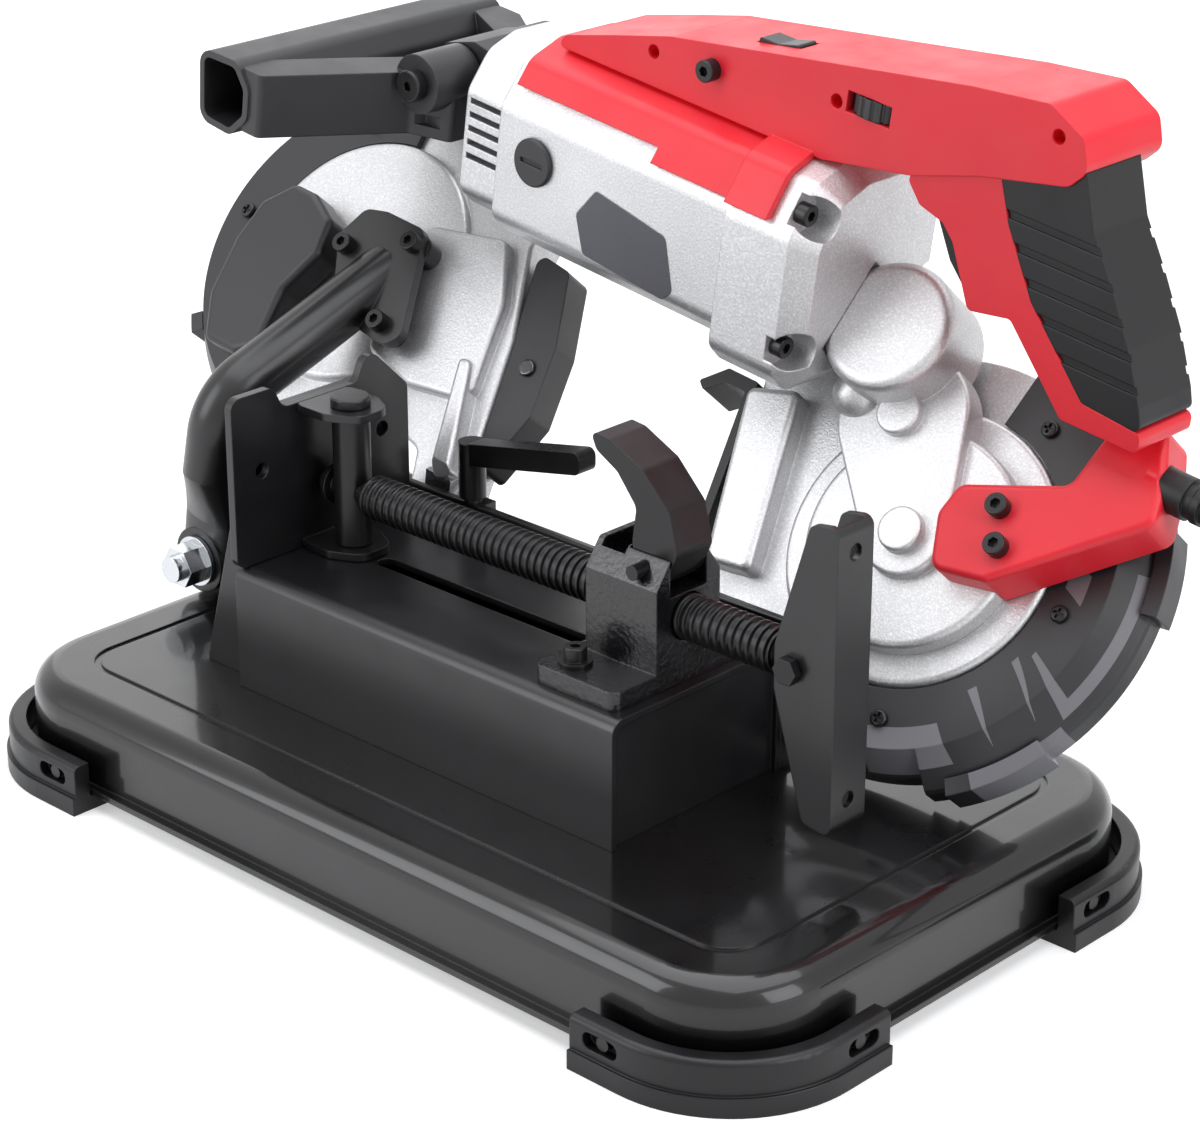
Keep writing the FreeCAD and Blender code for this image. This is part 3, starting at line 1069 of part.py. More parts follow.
def build_gear_case():
    bx, bw = idler_place()
    ax, aw = cross_place()
    ring, top, neck = case_outside(0)
    top = soften(top, lobe_high, casting_edge)
    ring = soften(ring, ring_high, rib_corner)
    neck = soften(neck, neck_high, neck_edge)
    bosses = [soften(post(boss_r, x, w, case_floor, boss_high), boss_high, boss_edge)
              for x, w in ((half_span, 0), (bx, bw))]
    bulge = Part.makeSphere(bulge_r, Vec(bulge_x, bulge_w, bulge_n))
    case = join([ring, top, neck, bulge] + bosses)
    case = case.cut(box(-reach, reach, -reach, reach, -reach, case_floor))
    drive_tip = drive_teeth * drive_module / 2 + drive_module * tip_share + gear_room
    idler_tip = idler_gear_teeth * drive_module / 2 + drive_module * tip_share + gear_room
    cross_tip = cross_teeth * drive_module / 2 + drive_module * tip_share + gear_room
    holes = [post(drive_tip, half_span, 0, case_floor - over, drive_gear_n1 + gear_side),
             post(idler_tip, bx, bw, case_floor - over, idler_gear_n1 + gear_side),
             post(cross_tip, ax, aw, idler_gear_n0 - gear_side, idler_gear_n1 + gear_room * 2),
             post(bevel_gear_r + gear_room * 2, ax, aw, idler_gear_n1 + gear_side * 2, neck_high - neck_roof)]
    pinion_y, pinion_z = second_place()
    entry = rod(bevel_pinion_r + entry_room, (first_gear_x0, pinion_y, pinion_z), (ax, pinion_y, pinion_z))
    holes.append(unlean(entry))
    holes.append(unlean(second_room()))
    for hole in holes:
        case = case.cut(hole)
    case = case.cut(post(bearing_r + bearing_gap, half_span, 0, case_floor, lobe_high))
    case = case.cut(post(bearing_small_r + bearing_gap, bx, bw, case_floor, lobe_high))
    case = case.cut(post(bearing_small_r + bearing_gap, ax, aw, over, idler_gear_n0))
    return case


def build_cap(case_clear):
    under = seat_cut()
    body = end_prism(cap_outline, barrel_round, barrel_x1 + seam, cap_x1 - cap_taper)
    ends = []
    for level, inset in ((cap_x1 - cap_taper, 0), (cap_x1, cap_taper)):
        wire = rounded(shrunk(cap_outline, inset), barrel_round)
        wire.translate(Vec(0, 0, level))
        ends.append(endways(wire))
    body = join([body, Part.makeLoft(ends, True, True)])
    for y, z in cap_screws:
        body = body.cut(rod(cap_pocket_r, (cap_x1 - cap_pocket_deep - cap_taper / 2, y, z), (cap_x1 + over, y, z)))
    sy, sz = second_place()
    pinion_tip = pinion_teeth * first_module / 2 + first_module + gear_room
    body = body.cut(rod(barrel_bore, (barrel_x1 - over, motor_y, motor_z), (first_gear_x0 - second_tail * 2, motor_y, motor_z)))
    body = body.cut(second_room())
    body = body.cut(rod(pinion_tip, (first_gear_x0 - gear_room, motor_y, motor_z), (first_gear_x1 + gear_room, motor_y, motor_z)))
    body = body.cut(rod(bearing_r + bearing_gap, (first_gear_x0 - second_tail * 2 - over, motor_y, motor_z), (first_gear_x0 - over, motor_y, motor_z)))
    body = body.cut(rod(bearing_small_r + bearing_gap, (first_gear_x0 - second_tail - over, sy, sz), (first_gear_x0 - over, sy, sz)))
    body = body.cut(rod(bevel_pinion_r + entry_room, (first_gear_x1, sy, sz), (cap_x1 + over, sy, sz)))
    body = body.cut(under)
    for piece in case_clear:
        body = body.cut(lean(piece.copy()))
    return body


# Gear train and wheels

def bearing(outer, inner, wide):
    """Ball bearing drawn as two rings with a shield between."""
    ring = post(outer, 0, 0, 0, wide).cut(post(inner, 0, 0, -over, wide + over))
    groove_share, shield_share = 0.3, 0.12
    depth = wide * shield_share
    r0 = inner + (outer - inner) * groove_share
    r1 = outer - (outer - inner) * groove_share
    for low in (-over, wide - depth):
        ring = ring.cut(post(r1, 0, 0, low, low + depth + over).cut(post(r0, 0, 0, low - over, low + depth + 2 * over)))
    return ring


def build_train():
    bx, bw = idler_place()
    ax, aw = cross_place()
    sy, sz = second_place()
    apex_n = -sy * tilt_cos + sz * tilt_sin
    run = run_gap

    shaft = rod(shaft_big, (bell_x0 + bell_bearing_x, motor_y, motor_z), (first_gear_x1, motor_y, motor_z))
    core = rod(core_r, (core_x0, motor_y, motor_z), (core_x1, motor_y, motor_z))
    slots = []
    for i in range(core_slots):
        turn = math.pi * 2 * i / core_slots
        slots.append(moved(endways(box(-core_slot_wide / 2, core_slot_wide / 2, core_r - core_slot_deep, core_r + over,
                                       core_x0 - over, core_x1 + over)), 0, 0, 0))
        slots[-1].rotate(Vec(0, 0, 0), Vec(1, 0, 0), math.degrees(turn))
        slots[-1].translate(Vec(0, motor_y, motor_z))
    for slot in slots:
        core = core.cut(slot)
    brush_ring = rod(commutator_r, (commutator_x0, motor_y, motor_z), (commutator_x1, motor_y, motor_z))
    fan = rod(fan_hub_r, (fan_x0, motor_y, motor_z), (fan_x1, motor_y, motor_z))
    disc = rod(fan_r, (fan_x0, motor_y, motor_z), (fan_x0 + fan_disc, motor_y, motor_z))
    blades = []
    for i in range(fan_blades):
        blade = endways(box(-fan_disc / 2, fan_disc / 2, fan_hub_r - over, fan_r, fan_x0, fan_x1))
        blade.rotate(Vec(0, 0, 0), Vec(1, 0, 0), whole_turn * i / fan_blades)
        blade.translate(Vec(0, motor_y, motor_z))
        blades.append(blade)
    pinion = endways(gear(pinion_teeth, first_module, first_gear_x0, first_gear_x1, -quarter_turn))
    pinion.translate(Vec(0, motor_y, motor_z))
    keep_upright("armature", join([shaft, core, brush_ring, fan, disc, pinion] + blades))

    apex_x = ax
    wheel = endways(gear(second_teeth, first_module, first_gear_x0, first_gear_x1, quarter_turn + half_turn / second_teeth))
    wheel.translate(Vec(0, sy, sz))
    cone_long = bevel_gear_r
    stub = rod(shaft_r, (first_gear_x0 - second_tail, sy, sz), (apex_x - cone_long, sy, sz))
    small = bevel(bevel_pinion_teeth, bevel_pinion_r, bevel_gear_r, 0, bevel_pinion_r - bevel_hub, bevel_hub)
    small.rotate(Vec(0, 0, 0), Vec(0, 1, 0), -quarter_turn)
    small = lean(moved(small, apex_x, aw, apex_n))
    keep_upright("second_shaft", join([stub, wheel, small]))

    bottom_turn = half_turn + half_turn / bevel_gear_teeth
    big = bevel(bevel_gear_teeth, bevel_gear_r, bevel_pinion_r, bottom_turn, shaft_r + bevel_hub / 2, bevel_hub)
    big.translate(Vec(ax, aw, apex_n))
    cross = post(shaft_r, ax, aw, cross_tail, apex_n + bevel_pinion_r)
    turn = cross_turn_deg + half_turn
    driver = moved(gear(cross_teeth, drive_module, idler_gear_n0, idler_gear_n1, turn), ax, aw, 0)
    keep_leaning("cross_shaft", join([big, cross, driver]))

    follower_turn = cross_turn_deg + half_turn / idler_gear_teeth
    follower = moved(gear(idler_gear_teeth, drive_module, idler_gear_n0, idler_gear_n1, follower_turn), bx, bw, 0)
    step_pinion = moved(gear(idler_pinion_teeth, drive_module, drive_gear_n0, idler_gear_n0 + tiny,
                             idler_turn_deg + half_turn), bx, bw, 0)
    stub = post(shaft_r, bx, bw, disc_low + over, lobe_high - over)
    keep_leaning("idler_shaft", join([follower, step_pinion, stub]))

    last = gear(drive_teeth, drive_module, drive_gear_n0, drive_gear_n1, idler_turn_deg + half_turn / drive_teeth)
    axle = post(wheel_shaft_r, 0, 0, wheel_low - axle_nut, lobe_high - over)
    nut = hexagon_prism(wheel_shaft_r * axle_nut_share, wheel_low - axle_nut, wheel_low - tiny)
    holes = []
    for i in range(drive_holes):
        turn = math.pi * 2 * i / drive_holes
        holes.append(post(drive_hole_r, drive_hole_at * math.cos(turn), drive_hole_at * math.sin(turn), -reach, reach))
    for hole in holes:
        last = last.cut(hole)
    keep_leaning("drive_gear", moved(join([last, axle, nut]), half_span, 0, 0))

    rim = wheel_r - tyre_gap - tyre_thick
    web_n0, web_n1 = wheel_low + wheel_dish, wheel_high - wheel_dish
    profile = [(wheel_shaft_r + run, wheel_low), (hub_r, wheel_low), (hub_r, web_n0), (rim - rim_thick, web_n0),
               (rim - rim_thick, wheel_low), (rim, wheel_low), (rim, wheel_high), (rim - rim_thick, wheel_high),
               (rim - rim_thick, web_n1), (hub_r, web_n1), (hub_r, wheel_high + hub_proud),
               (wheel_shaft_r + run, wheel_high + hub_proud)]
    wheel = lathe(profile)
    for i in range(wheel_holes):
        turn = math.pi * 2 * i / wheel_holes
        wheel = wheel.cut(post(wheel_hole_r, wheel_hole_at * math.cos(turn), wheel_hole_at * math.sin(turn), -reach, reach))
    crown = tyre_thick / 6
    tyre = lathe([(rim + tiny, wheel_low), (rim + tyre_thick - crown, wheel_low),
                  (rim + tyre_thick, (wheel_low + wheel_high) / 2), (rim + tyre_thick - crown, wheel_high),
                  (rim + tiny, wheel_high)])
    keep_leaning("drive_wheel", moved(wheel, half_span, 0, 0))
    keep_leaning("drive_tyre", moved(tyre, half_span, 0, 0))
    keep_leaning("idler_wheel", moved(wheel, -half_span, 0, 0))
    keep_leaning("idler_tyre", moved(tyre, -half_span, 0, 0))

    keep_upright("stator", endways_ring(stator_r, stator_bore, core_x0 - over, core_x1 + over))
    places = []
    for x, y, z, outer, inner in ((bell_x0 + bell_bearing_x, motor_y, motor_z, bearing_r, shaft_big),
                                  (first_gear_x0 - second_tail, motor_y, motor_z, bearing_r, shaft_big),
                                  (first_gear_x0 - second_tail, sy, sz, bearing_small_r, shaft_r)):
        ring = endways(bearing(outer, inner + run, bearing_wide))
        places.append(moved(ring, x, y, z))
    for x, w, n, outer, inner in ((half_span, 0, drive_gear_n1 + over, bearing_r, wheel_shaft_r),
                                  (half_span, 0, disc_low + over / 2, bearing_big_r, wheel_shaft_r),
                                  (bx, bw, disc_low + over, bearing_small_r, shaft_r),
                                  (ax, aw, cross_tail, bearing_small_r, shaft_r)):
        ring = bearing(outer, inner + run, bearing_wide)
        places.append(lean(moved(ring, x, w, n)))
    keep_upright("bearings", group(places))

    brushes = []
    for side in (-1, 1):
        y0 = motor_y + side * (commutator_r + nut_gap)
        y1 = motor_y + side * (commutator_r + brush_long)
        brushes.append(box(brush_x - brush_half, brush_x + brush_half, min(y0, y1), max(y0, y1),
                           brush_z - brush_half, brush_z + brush_half))
    return brushes


def endways_ring(outer, inner, x0, x1):
    ring = rod(outer, (x0, motor_y, motor_z), (x1, motor_y, motor_z))
    return ring.cut(rod(inner, (x0 - over, motor_y, motor_z), (x1 + over, motor_y, motor_z)))


def build_blade():
    """Band round both wheels, turned upright between the guides on its lower run."""
    inner, outer = wheel_r, wheel_r + blade_thick
    middle = (blade_low + blade_high) / 2
    wide = blade_high - blade_low
    ends = []
    for x, start in ((half_span, -quarter_turn), (-half_span, quarter_turn)):
        ring = sector(outer, start, start + half_turn, blade_low, blade_high)
        ends.append(moved(ring.cut(post(inner, 0, 0, -reach, reach)), x, 0, 0))
    top = box(-half_span, half_span, inner, outer, blade_low, blade_high)

    def cut_line(x, turn_share):
        turn = math.radians((quarter_turn - tilt_deg) * turn_share)
        w_mid = -(inner + outer) / 2
        across_w, across_n = math.sin(turn), math.cos(turn)
        half, skin = wide / 2, blade_thick / 2
        points = []
        for a, b in ((-half, -skin), (half, -skin), (half, skin), (-half, skin)):
            points.append((x, w_mid + a * across_w + b * across_n, middle + a * across_n - b * across_w))
        return polygon(points)

    def twist(x0, x1, share0, share1):
        steps = 8
        lines = []
        for i in range(steps + 1):
            part = i / steps
            ease = part * part * (3 - 2 * part)
            lines.append(cut_line(x0 + (x1 - x0) * part, share0 + (share1 - share0) * ease))
        return Part.makeLoft(lines, True, True)

    low = [twist(-half_span, guide_left, 0, 1), twist(guide_left, guide_right, 1, 1), twist(guide_right, half_span, 1, 0)]
    keep_leaning("blade", join(ends + [top] + low))


# Handle shell, grips and controls

def build_handle(case_clear):
    skirt_out = end_prism(shrunk(barrel_outline, -skirt_thick - seam), barrel_round, skirt_x0, barrel_x1 + seam)
    cap_out = end_prism(shrunk(cap_outline, -skirt_thick - seam), barrel_round, barrel_x1, skirt_x1)
    skirt = join([skirt_out, cap_out])
    low = box(-reach, reach, -reach, reach, -reach, skirt_low)
    skirt = skirt.cut(low).cut(box(-reach, skirt_step_x, -reach, motor_y, -reach, skirt_low + skirt_step))
    top = side_prism(shell_outline, shell_round, shell_y0, shell_y1)
    red = side_prism(grip_red, shell_round / 2, grip_y - grip_half, grip_y + grip_half)
    core = side_prism(core_outline, shell_round, grip_y - core_half, grip_y + core_half)
    arm = soften(prism(bracket_outline, shell_round, bracket_n0, bracket_n1), bracket_n1, shell_edge)
    for piece in case_clear:
        arm = arm.cut(piece)
    arm = lean(arm)
    shell = join([skirt, top, red, core, arm])
    fill = end_prism(shrunk(barrel_outline, -seam), barrel_round, -reach, barrel_x1 + seam)
    fill_cap = end_prism(shrunk(cap_outline, -seam), barrel_round, barrel_x1 - seam, cap_x1 + seam)
    shell = shell.cut(fill).cut(fill_cap)
    trigger_room = side_prism(trigger_room_outline, trigger_round, grip_y - trigger_half - seam, grip_y + trigger_half + seam)
    shell = shell.cut(trigger_room)
    rocker_room = rocker_long / 2 + rocker_gap
    shell = shell.cut(box(rocker_x - rocker_room, rocker_x + rocker_room, grip_y - rocker_half - seam,
                          grip_y + rocker_half + seam, rocker_z - rocker_depth - rocker_gap * 2, reach))
    shell = shell.cut(post(dial_r + seam, dial_x, dial_y, dial_z - seam, dial_z + dial_high + seam))
    window = box(dial_x - dial_window, dial_x + dial_window, shell_y0 - over, dial_y, dial_z - seam, dial_z + dial_high + seam)
    shell = shell.cut(window)
    shell = shell.cut(post(dial_shaft_r + run_gap, dial_x, dial_y, dial_z - dial_tail - over, dial_z + over))
    for x, z in shell_holes:
        shell = shell.cut(rod(shell_hole_r, (x, shell_y0 - over, z), (x, shell_y0 + shell_hole_deep, z)))
    boot_hole = rod(boot_r0 + run_gap, (boot_x0 - boot_in, boot_y, boot_z), (reach, boot_y, boot_z))
    shell = shell.cut(boot_hole)
    black = side_prism(grip_black, shell_round / 2, grip_y - grip_half, grip_y + grip_half)
    for i in range(grip_ridges):
        part = (i + 0.5) / grip_ridges
        x = grip_black[-3][0] + (grip_black[-6][0] - grip_black[-3][0]) * part
        z = grip_black[-3][1] + (grip_black[-6][1] - grip_black[-3][1]) * part
        black = black.cut(box(x - reach, x + reach, grip_y + grip_half - ridge_deep, reach, z - ridge_high, z + ridge_high))
        black = black.cut(box(x - reach, x + reach, -reach, grip_y - grip_half + ridge_deep, z - ridge_high, z + ridge_high))
    black = black.cut(red).cut(core).cut(top).cut(boot_hole).cut(arm)
    keep_upright("grip_rubber", black)
    keep_upright("handle_shell", shell)


def build_controls():
    trigger = side_prism(trigger_outline, trigger_round, grip_y - trigger_half, grip_y + trigger_half)
    keep_upright("trigger", trigger)
    half = rocker_long / 2
    rocker = side_prism([(rocker_x - half, rocker_z - rocker_depth), (rocker_x + half, rocker_z - rocker_depth),
                         (rocker_x + half, rocker_z + rocker_high), (rocker_x, rocker_z + rocker_dip),
                         (rocker_x - half, rocker_z + rocker_dip)], over, grip_y - rocker_half, grip_y + rocker_half)
    keep_upright("rocker", rocker)
    wheel = post(dial_r, dial_x, dial_y, dial_z, dial_z + dial_high)
    for i in range(dial_notches):
        turn = math.pi * 2 * i / dial_notches
        wheel = wheel.cut(post(dial_notch_r, dial_x + dial_r * math.cos(turn), dial_y + dial_r * math.sin(turn), 0, reach))
    tail = post(dial_shaft_r, dial_x, dial_y, dial_z - dial_tail, dial_z + over)
    keep_upright("speed_dial", join([wheel, tail]))


# Front handle, tension lever and small pieces of the saw

def build_front_handle():
    tube = side_prism(handle_outline, handle_round, handle_y0, handle_y1)
    inside = side_prism(shrunk(handle_outline, handle_wall), handle_round - handle_wall, handle_y0 - over,
                        handle_y1 - handle_wall)
    near = prism(near_arm, handle_wall, arm_z0, arm_z1)
    far = prism(far_arm, handle_wall, arm_z0, arm_z1)
    for i in range(rib_count):
        low = arm_z0 + rib_gap * (2 * i + 1)
        near = near.cut(prism(rib_cut_outline, over, low, low + rib_gap))
    bosses = [rod(pin_boss_r, (pin_x, near_boss_y0, pin_z), (pin_x, lug_y0 - over, pin_z)),
              rod(pin_boss_r, (pin_x, lug_y1 + over, pin_z), (pin_x, far_boss_y1, pin_z))]
    hole = rod(pin_hole_r, (pin_x, -reach, pin_z), (pin_x, reach, pin_z))
    handle = join([tube, near, far] + bosses).cut(inside).cut(hole)
    handle = handle.cut(rod(pin_boss_r + over, (pin_x, lug_y0 - over, pin_z), (pin_x, lug_y1 + over, pin_z)))
    keep_upright("front_handle", handle)
    lug = side_prism(lug_outline, handle_wall, lug_y0, lug_y1)
    lug = join([lug, rod(pin_boss_r, (pin_x, lug_y0, pin_z), (pin_x, lug_y1, pin_z))])
    lug = lug.cut(box(bell_x0 - tiny, reach, -reach, reach, -reach, reach)).cut(hole)
    keep_upright("handle_lug", lug)
    grip = pin_hole_r - run_gap
    bolt = rod(grip, (pin_x, near_boss_y0 - over, pin_z), (pin_x, far_boss_y1 + over, pin_z))
    head = moved(across(socket_head(handle_bolt_head, head_high)), pin_x, near_boss_y0 - tiny, pin_z)
    nut = moved(across(hexagon_prism(handle_bolt_head, 0, head_high)), pin_x, far_boss_y1 + head_high + tiny, pin_z)
    keep_upright("front_handle_bolt", join([bolt, head, nut]))


def build_tension(frame):
    lever = soften(prism(tension_outline, tension_round, tension_low, tension_high), tension_high, tension_edge)
    spindle = post(spindle_r, lever_x, lever_w, disc_low + over, tension_low + tiny)
    keep_leaning("tension_lever", join([lever, spindle]))
    frame = frame.cut(post(spindle_r + run_gap, lever_x, lever_w, -reach, over))
    half_long, half_wide = slide_long / 2, slide_wide / 2
    pocket = box(lever_x - half_wide, -half_span + half_long + slide_travel, -half_wide - slide_gap, half_wide + slide_gap,
                 disc_low - over, pocket_n)
    frame = frame.cut(pocket)
    block = box(-half_span - half_long, -half_span + half_long, -half_wide, half_wide, disc_low, pocket_n - slide_gap)
    axle = post(wheel_shaft_r, -half_span, 0, wheel_low - axle_nut, disc_low + over)
    nut = moved(hexagon_prism(wheel_shaft_r * axle_nut_share, wheel_low - axle_nut, wheel_low - tiny), -half_span, 0, 0)
    keep_leaning("idler_slide", join([block, axle, nut]))
    return frame


def blade_centre():
    middle_w = -(wheel_r + blade_thick / 2)
    middle_n = (blade_low + blade_high) / 2
    y = middle_w * tilt_sin - middle_n * tilt_cos
    z = middle_w * tilt_cos + middle_n * tilt_sin
    return y, z + (blade_high - blade_low) / 2


def open_guides(frame):
    """Room for the guide rollers in the arm ends."""
    y, back_z = blade_centre()
    frame = lean(frame)
    for x in (guide_left, guide_right):
        frame = frame.cut(box(x - guide_room, x + guide_room, y - guide_room + over, y + guide_room - over, -reach,
                              back_z + guide_gap))
    return unlean(frame.cut(second_room()))


def build_small(frame):
    cover = prism(light_outline, spine_corner, light_low, light_high).cut(frame)
    keep_leaning("light_cover", cover)
    lens = soften(post(lens_r, light_x, light_w, light_high + tiny, light_high + lens_high), light_high + lens_high, 1)
    keep_leaning("light_lens", lens)
    stop = prism(stop_outline, over, stop_low, stop_high).cut(frame)
    keep_leaning("work_stop", stop)

    blade_y, back_z = blade_centre()
    blocks = []
    rollers = []
    upright_frame = lean(frame.copy())
    for x in (guide_left, guide_right):
        block = box(x - guide_half, x + guide_half, blade_y - guide_half, blade_y + guide_half, back_z + guide_gap,
                    back_z + guide_gap + guide_high)
        block = block.cut(upright_frame)
        for side in (-1, 1):
            y = blade_y + side * (blade_thick / 2 + roller_r + run_gap)
            pin = rod(guide_pin_r, (x, y, back_z + guide_gap - roller_high), (x, y, back_z + guide_gap + over))
            roller = rod(roller_r, (x, y, back_z - roller_high), (x, y, back_z + guide_gap - tiny))
            rollers.append(roller.cut(rod(guide_pin_r + run_gap, (x, y, -reach), (x, y, reach))))
            block = join([block, pin])
        blocks.append(block.cut(upright_frame))
    keep_upright("blade_guides", group(blocks + rollers))

    caps = []
    for y, way in ((barrel_outline[0][0], 1), (barrel_outline[6][0], -1)):
        cap = soften(Part.makeCylinder(brush_cap_r, brush_cap_high), brush_cap_high, over)
        cap = cap.cut(box(-brush_slot, brush_slot, -over, over, brush_cap_high / 2, reach))
        cap = across(cap)
        if way < 0:
            cap.rotate(Vec(0, 0, 0), Vec(0, 0, 1), half_turn)
        caps.append(moved(cap, brush_x, y - way * tiny, brush_z))
    return caps


def build_fasteners(guard, cover):
    sockets = []
    for y, z in cap_screws:
        sockets.append(moved(endways(socket_head()), cap_x1 - cap_pocket_deep - cap_taper / 2 + tiny, y, z))
    for (x, w), base in zip(mount_bolts, (0, panel_high, panel_high)):
        sockets.append(lean(moved(socket_head(shank=plate_high - base - over), x, w, plate_high + tiny)))
    for x, w in bracket_bolts:
        sockets.append(lean(moved(socket_head(), x, w, bracket_n1 + tiny)))
    sockets.append(moved(across(socket_head()), shell_screw_x, shell_y0 - tiny, shell_screw_z))
    keep_upright("socket_screws", group(sockets))
    crosses = []
    for side, radius, turn in guard_screws:
        angle = math.radians(turn)
        x, w = side * half_span + radius * math.cos(angle), radius * math.sin(angle)
        hole = post(shank_r / 2 + tiny, x, w, -reach, reach)
        guard = guard.cut(hole)
        cover = cover.cut(hole)
        crosses.append(lean(moved(cross_head(shank=guard_wall - over / 2), x, w, guard_top + tiny)))
    keep_upright("cross_screws", group(crosses))
    keep_leaning("guard_right", guard)
    keep_leaning("guard_left", cover)


# Cord

def build_boot():
    """Tapered strain relief with rings, along the saw at the foot of the grip."""
    profile = [(0, -boot_in), (boot_r0, -boot_in), (boot_r0, boot_ring)]
    count = boot_rings
    step = (boot_long - boot_ring) / count
    for i in range(count):
        low = boot_ring + step * i
        r0 = boot_r0 + (boot_r1 - boot_r0) * i / count
        r1 = boot_r0 + (boot_r1 - boot_r0) * (i + 1) / count
        profile.extend([(r0 - boot_ring_deep, low), (r0 - boot_ring_deep, low + step / 2), (r1, low + step / 2),
                        (r1, low + step)])
    profile.append((0, boot_long))
    boot = endways(lathe(profile))
    keep_upright("cord_boot", moved(boot, boot_x0, boot_y, boot_z))


def arc_from(start, way, end):
    """Arc that leaves the start along a direction and ends at a point."""
    chord = end - start
    along_chord = Vec(chord).normalize()
    turn = way.getAngle(chord)
    lift = way - along_chord * way.dot(along_chord)
    middle = start + chord * 0.5 + lift.normalize() * (chord.Length / 2 * math.tan(turn / 2))
    return Part.Arc(start, middle, end).toShape()


def biarc(start, way, end, end_way):
    """Two tangent arcs between two points with given directions."""
    gap = end - start
    both = way + end_way
    flat = 2 * (1 - way.dot(end_way))
    reach_out = (math.sqrt(gap.dot(both) ** 2 + flat * gap.dot(gap)) - gap.dot(both)) / flat
    middle = (start + end + (way - end_way) * reach_out) * 0.5
    first = arc_from(start, way, middle)
    second = arc_from(end, end_way * -1, middle)
    return [first, second.reversed()]


def coil_spot(part, centre, low):
    """Point of the coil after a number of turns: in on the floor, up, and out on top."""
    inner_r = coil_outer_r - coil_pitch * coil_turns
    if part <= coil_turns:
        radius, z = coil_outer_r - coil_pitch * part, low
    elif part <= coil_turns + coil_climb_turns:
        share = (part - coil_turns) / coil_climb_turns
        radius = inner_r - coil_dip * math.sin(math.pi * share) ** 2
        z = low + coil_layer * share * share * (3 - 2 * share)
    else:
        radius, z = inner_r + coil_pitch * (part - coil_turns - coil_climb_turns), low + coil_layer
    turn = math.pi / 2 + math.pi * 2 * part
    return Vec(centre.x + radius * math.cos(turn), centre.y + radius * math.sin(turn), z)


def coil_way(part, centre, low):
    step = 0.0005
    total = coil_turns * 2 + coil_climb_turns
    return (coil_spot(min(part + step, total), centre, low) - coil_spot(max(part - step, 0), centre, low)).normalize()


def build_cord(tip):
    points = [(tip.x + seam, tip.y, tip.z)] + cord_route
    path, radii = route(points)
    print("cord bend radii", [round(r, 1) for r in radii], "run", round(path.Length, 1))
    free = tube(points, cord_r)
    section = math.pi * cord_r ** 2
    print("cord volume over section and length", round(free.Volume / (section * path.Length), 4))
    nodes["cord_run"] = free

    start = Vec(*cord_route[-1]) - Vec(seam, 0, 0)
    centre = Vec(start.x, start.y - coil_outer_r, 0)
    low = start.z
    total = coil_turns * 2 + coil_climb_turns
    quarters = int(total * 4)
    edges = []
    for i in range(quarters):
        a, b = total * i / quarters, total * (i + 1) / quarters
        edges.extend(biarc(coil_spot(a, centre, low), coil_way(a, centre, low), coil_spot(b, centre, low),
                           coil_way(b, centre, low)))
    last = coil_spot(total, centre, low)
    way = coil_way(total, centre, low)
    tail_end = last + way * plug_tail
    edges.append(Part.LineSegment(edges[-1].lastVertex(True).Point, tail_end).toShape())
    path = Part.Wire(edges)
    first_way = coil_way(0, centre, low)
    coil = along(path, cord_r, edges[0].firstVertex(True).Point, first_way)
    nodes["cord_coil"] = coil
    print("coil length", round(path.Length, 1), "volume ratio", round(coil.Volume / (section * path.Length), 4))
    spots = path.discretize(Number=coil_samples)
    apart = int(coil_samples * cord_r * coil_skip / path.Length)
    least = min((spots[i] - spots[j]).Length for i in range(0, coil_samples, 4) for j in range(i + apart, coil_samples, 2))
    print("coil least gap", round(least - 2 * cord_r, 2))
    nodes["plug"] = build_plug(tail_end, way)
    nodes["cord_tie"] = build_tie(centre, low)


def build_plug(start, way):
    half_wide, half_high = plug_wide / 2, plug_high / 2
    neck = lathe([(0, tiny), (plug_neck_r, tiny), (half_high, plug_cone), (0, plug_cone)])
    body = prism([(-half_wide, -half_high), (half_wide, -half_high), (half_wide, half_high), (-half_wide, half_high)],
                 half_high / 2, plug_cone - tiny, plug_cone + plug_long)
    prongs = []
    for side in (-1, 1):
        x = side * prong_half_gap
        low = plug_cone + plug_long - over
        prongs.append(box(x - prong_thick / 2, x + prong_thick / 2, -prong_wide / 2, prong_wide / 2, low,
                          low + over + prong_long))
    plug = endways(join([neck, body] + prongs))
    plug.rotate(Vec(0, 0, 0), Vec(0, 0, 1), math.degrees(math.atan2(way.y, way.x)))
    plug.translate(start)
    return plug


def build_tie(centre, low):
    """Strap round the bundle on the side away from the entry."""
    r0 = coil_outer_r - coil_pitch * coil_turns - cord_r - tie_room
    r1 = coil_outer_r + cord_r + tie_room
    z0, z1 = low - cord_r - tiny, low + coil_layer + cord_r + tie_room
    inner = [(r0, z0), (r1, z0), (r1, z1), (r0, z1)]
    outer = [(r0 - tie_strap, z0 - tie_strap), (r1 + tie_strap, z0 - tie_strap), (r1 + tie_strap, z1 + tie_strap),
             (r0 - tie_strap, z1 + tie_strap)]
    half = tie_wide / 2
    strap = side_prism(outer, cord_r, -half, half).cut(side_prism(inner, cord_r - tie_strap, -half - over, half + over))
    strap.translate(Vec(centre.x, centre.y, 0))
    return strap


# Build everything

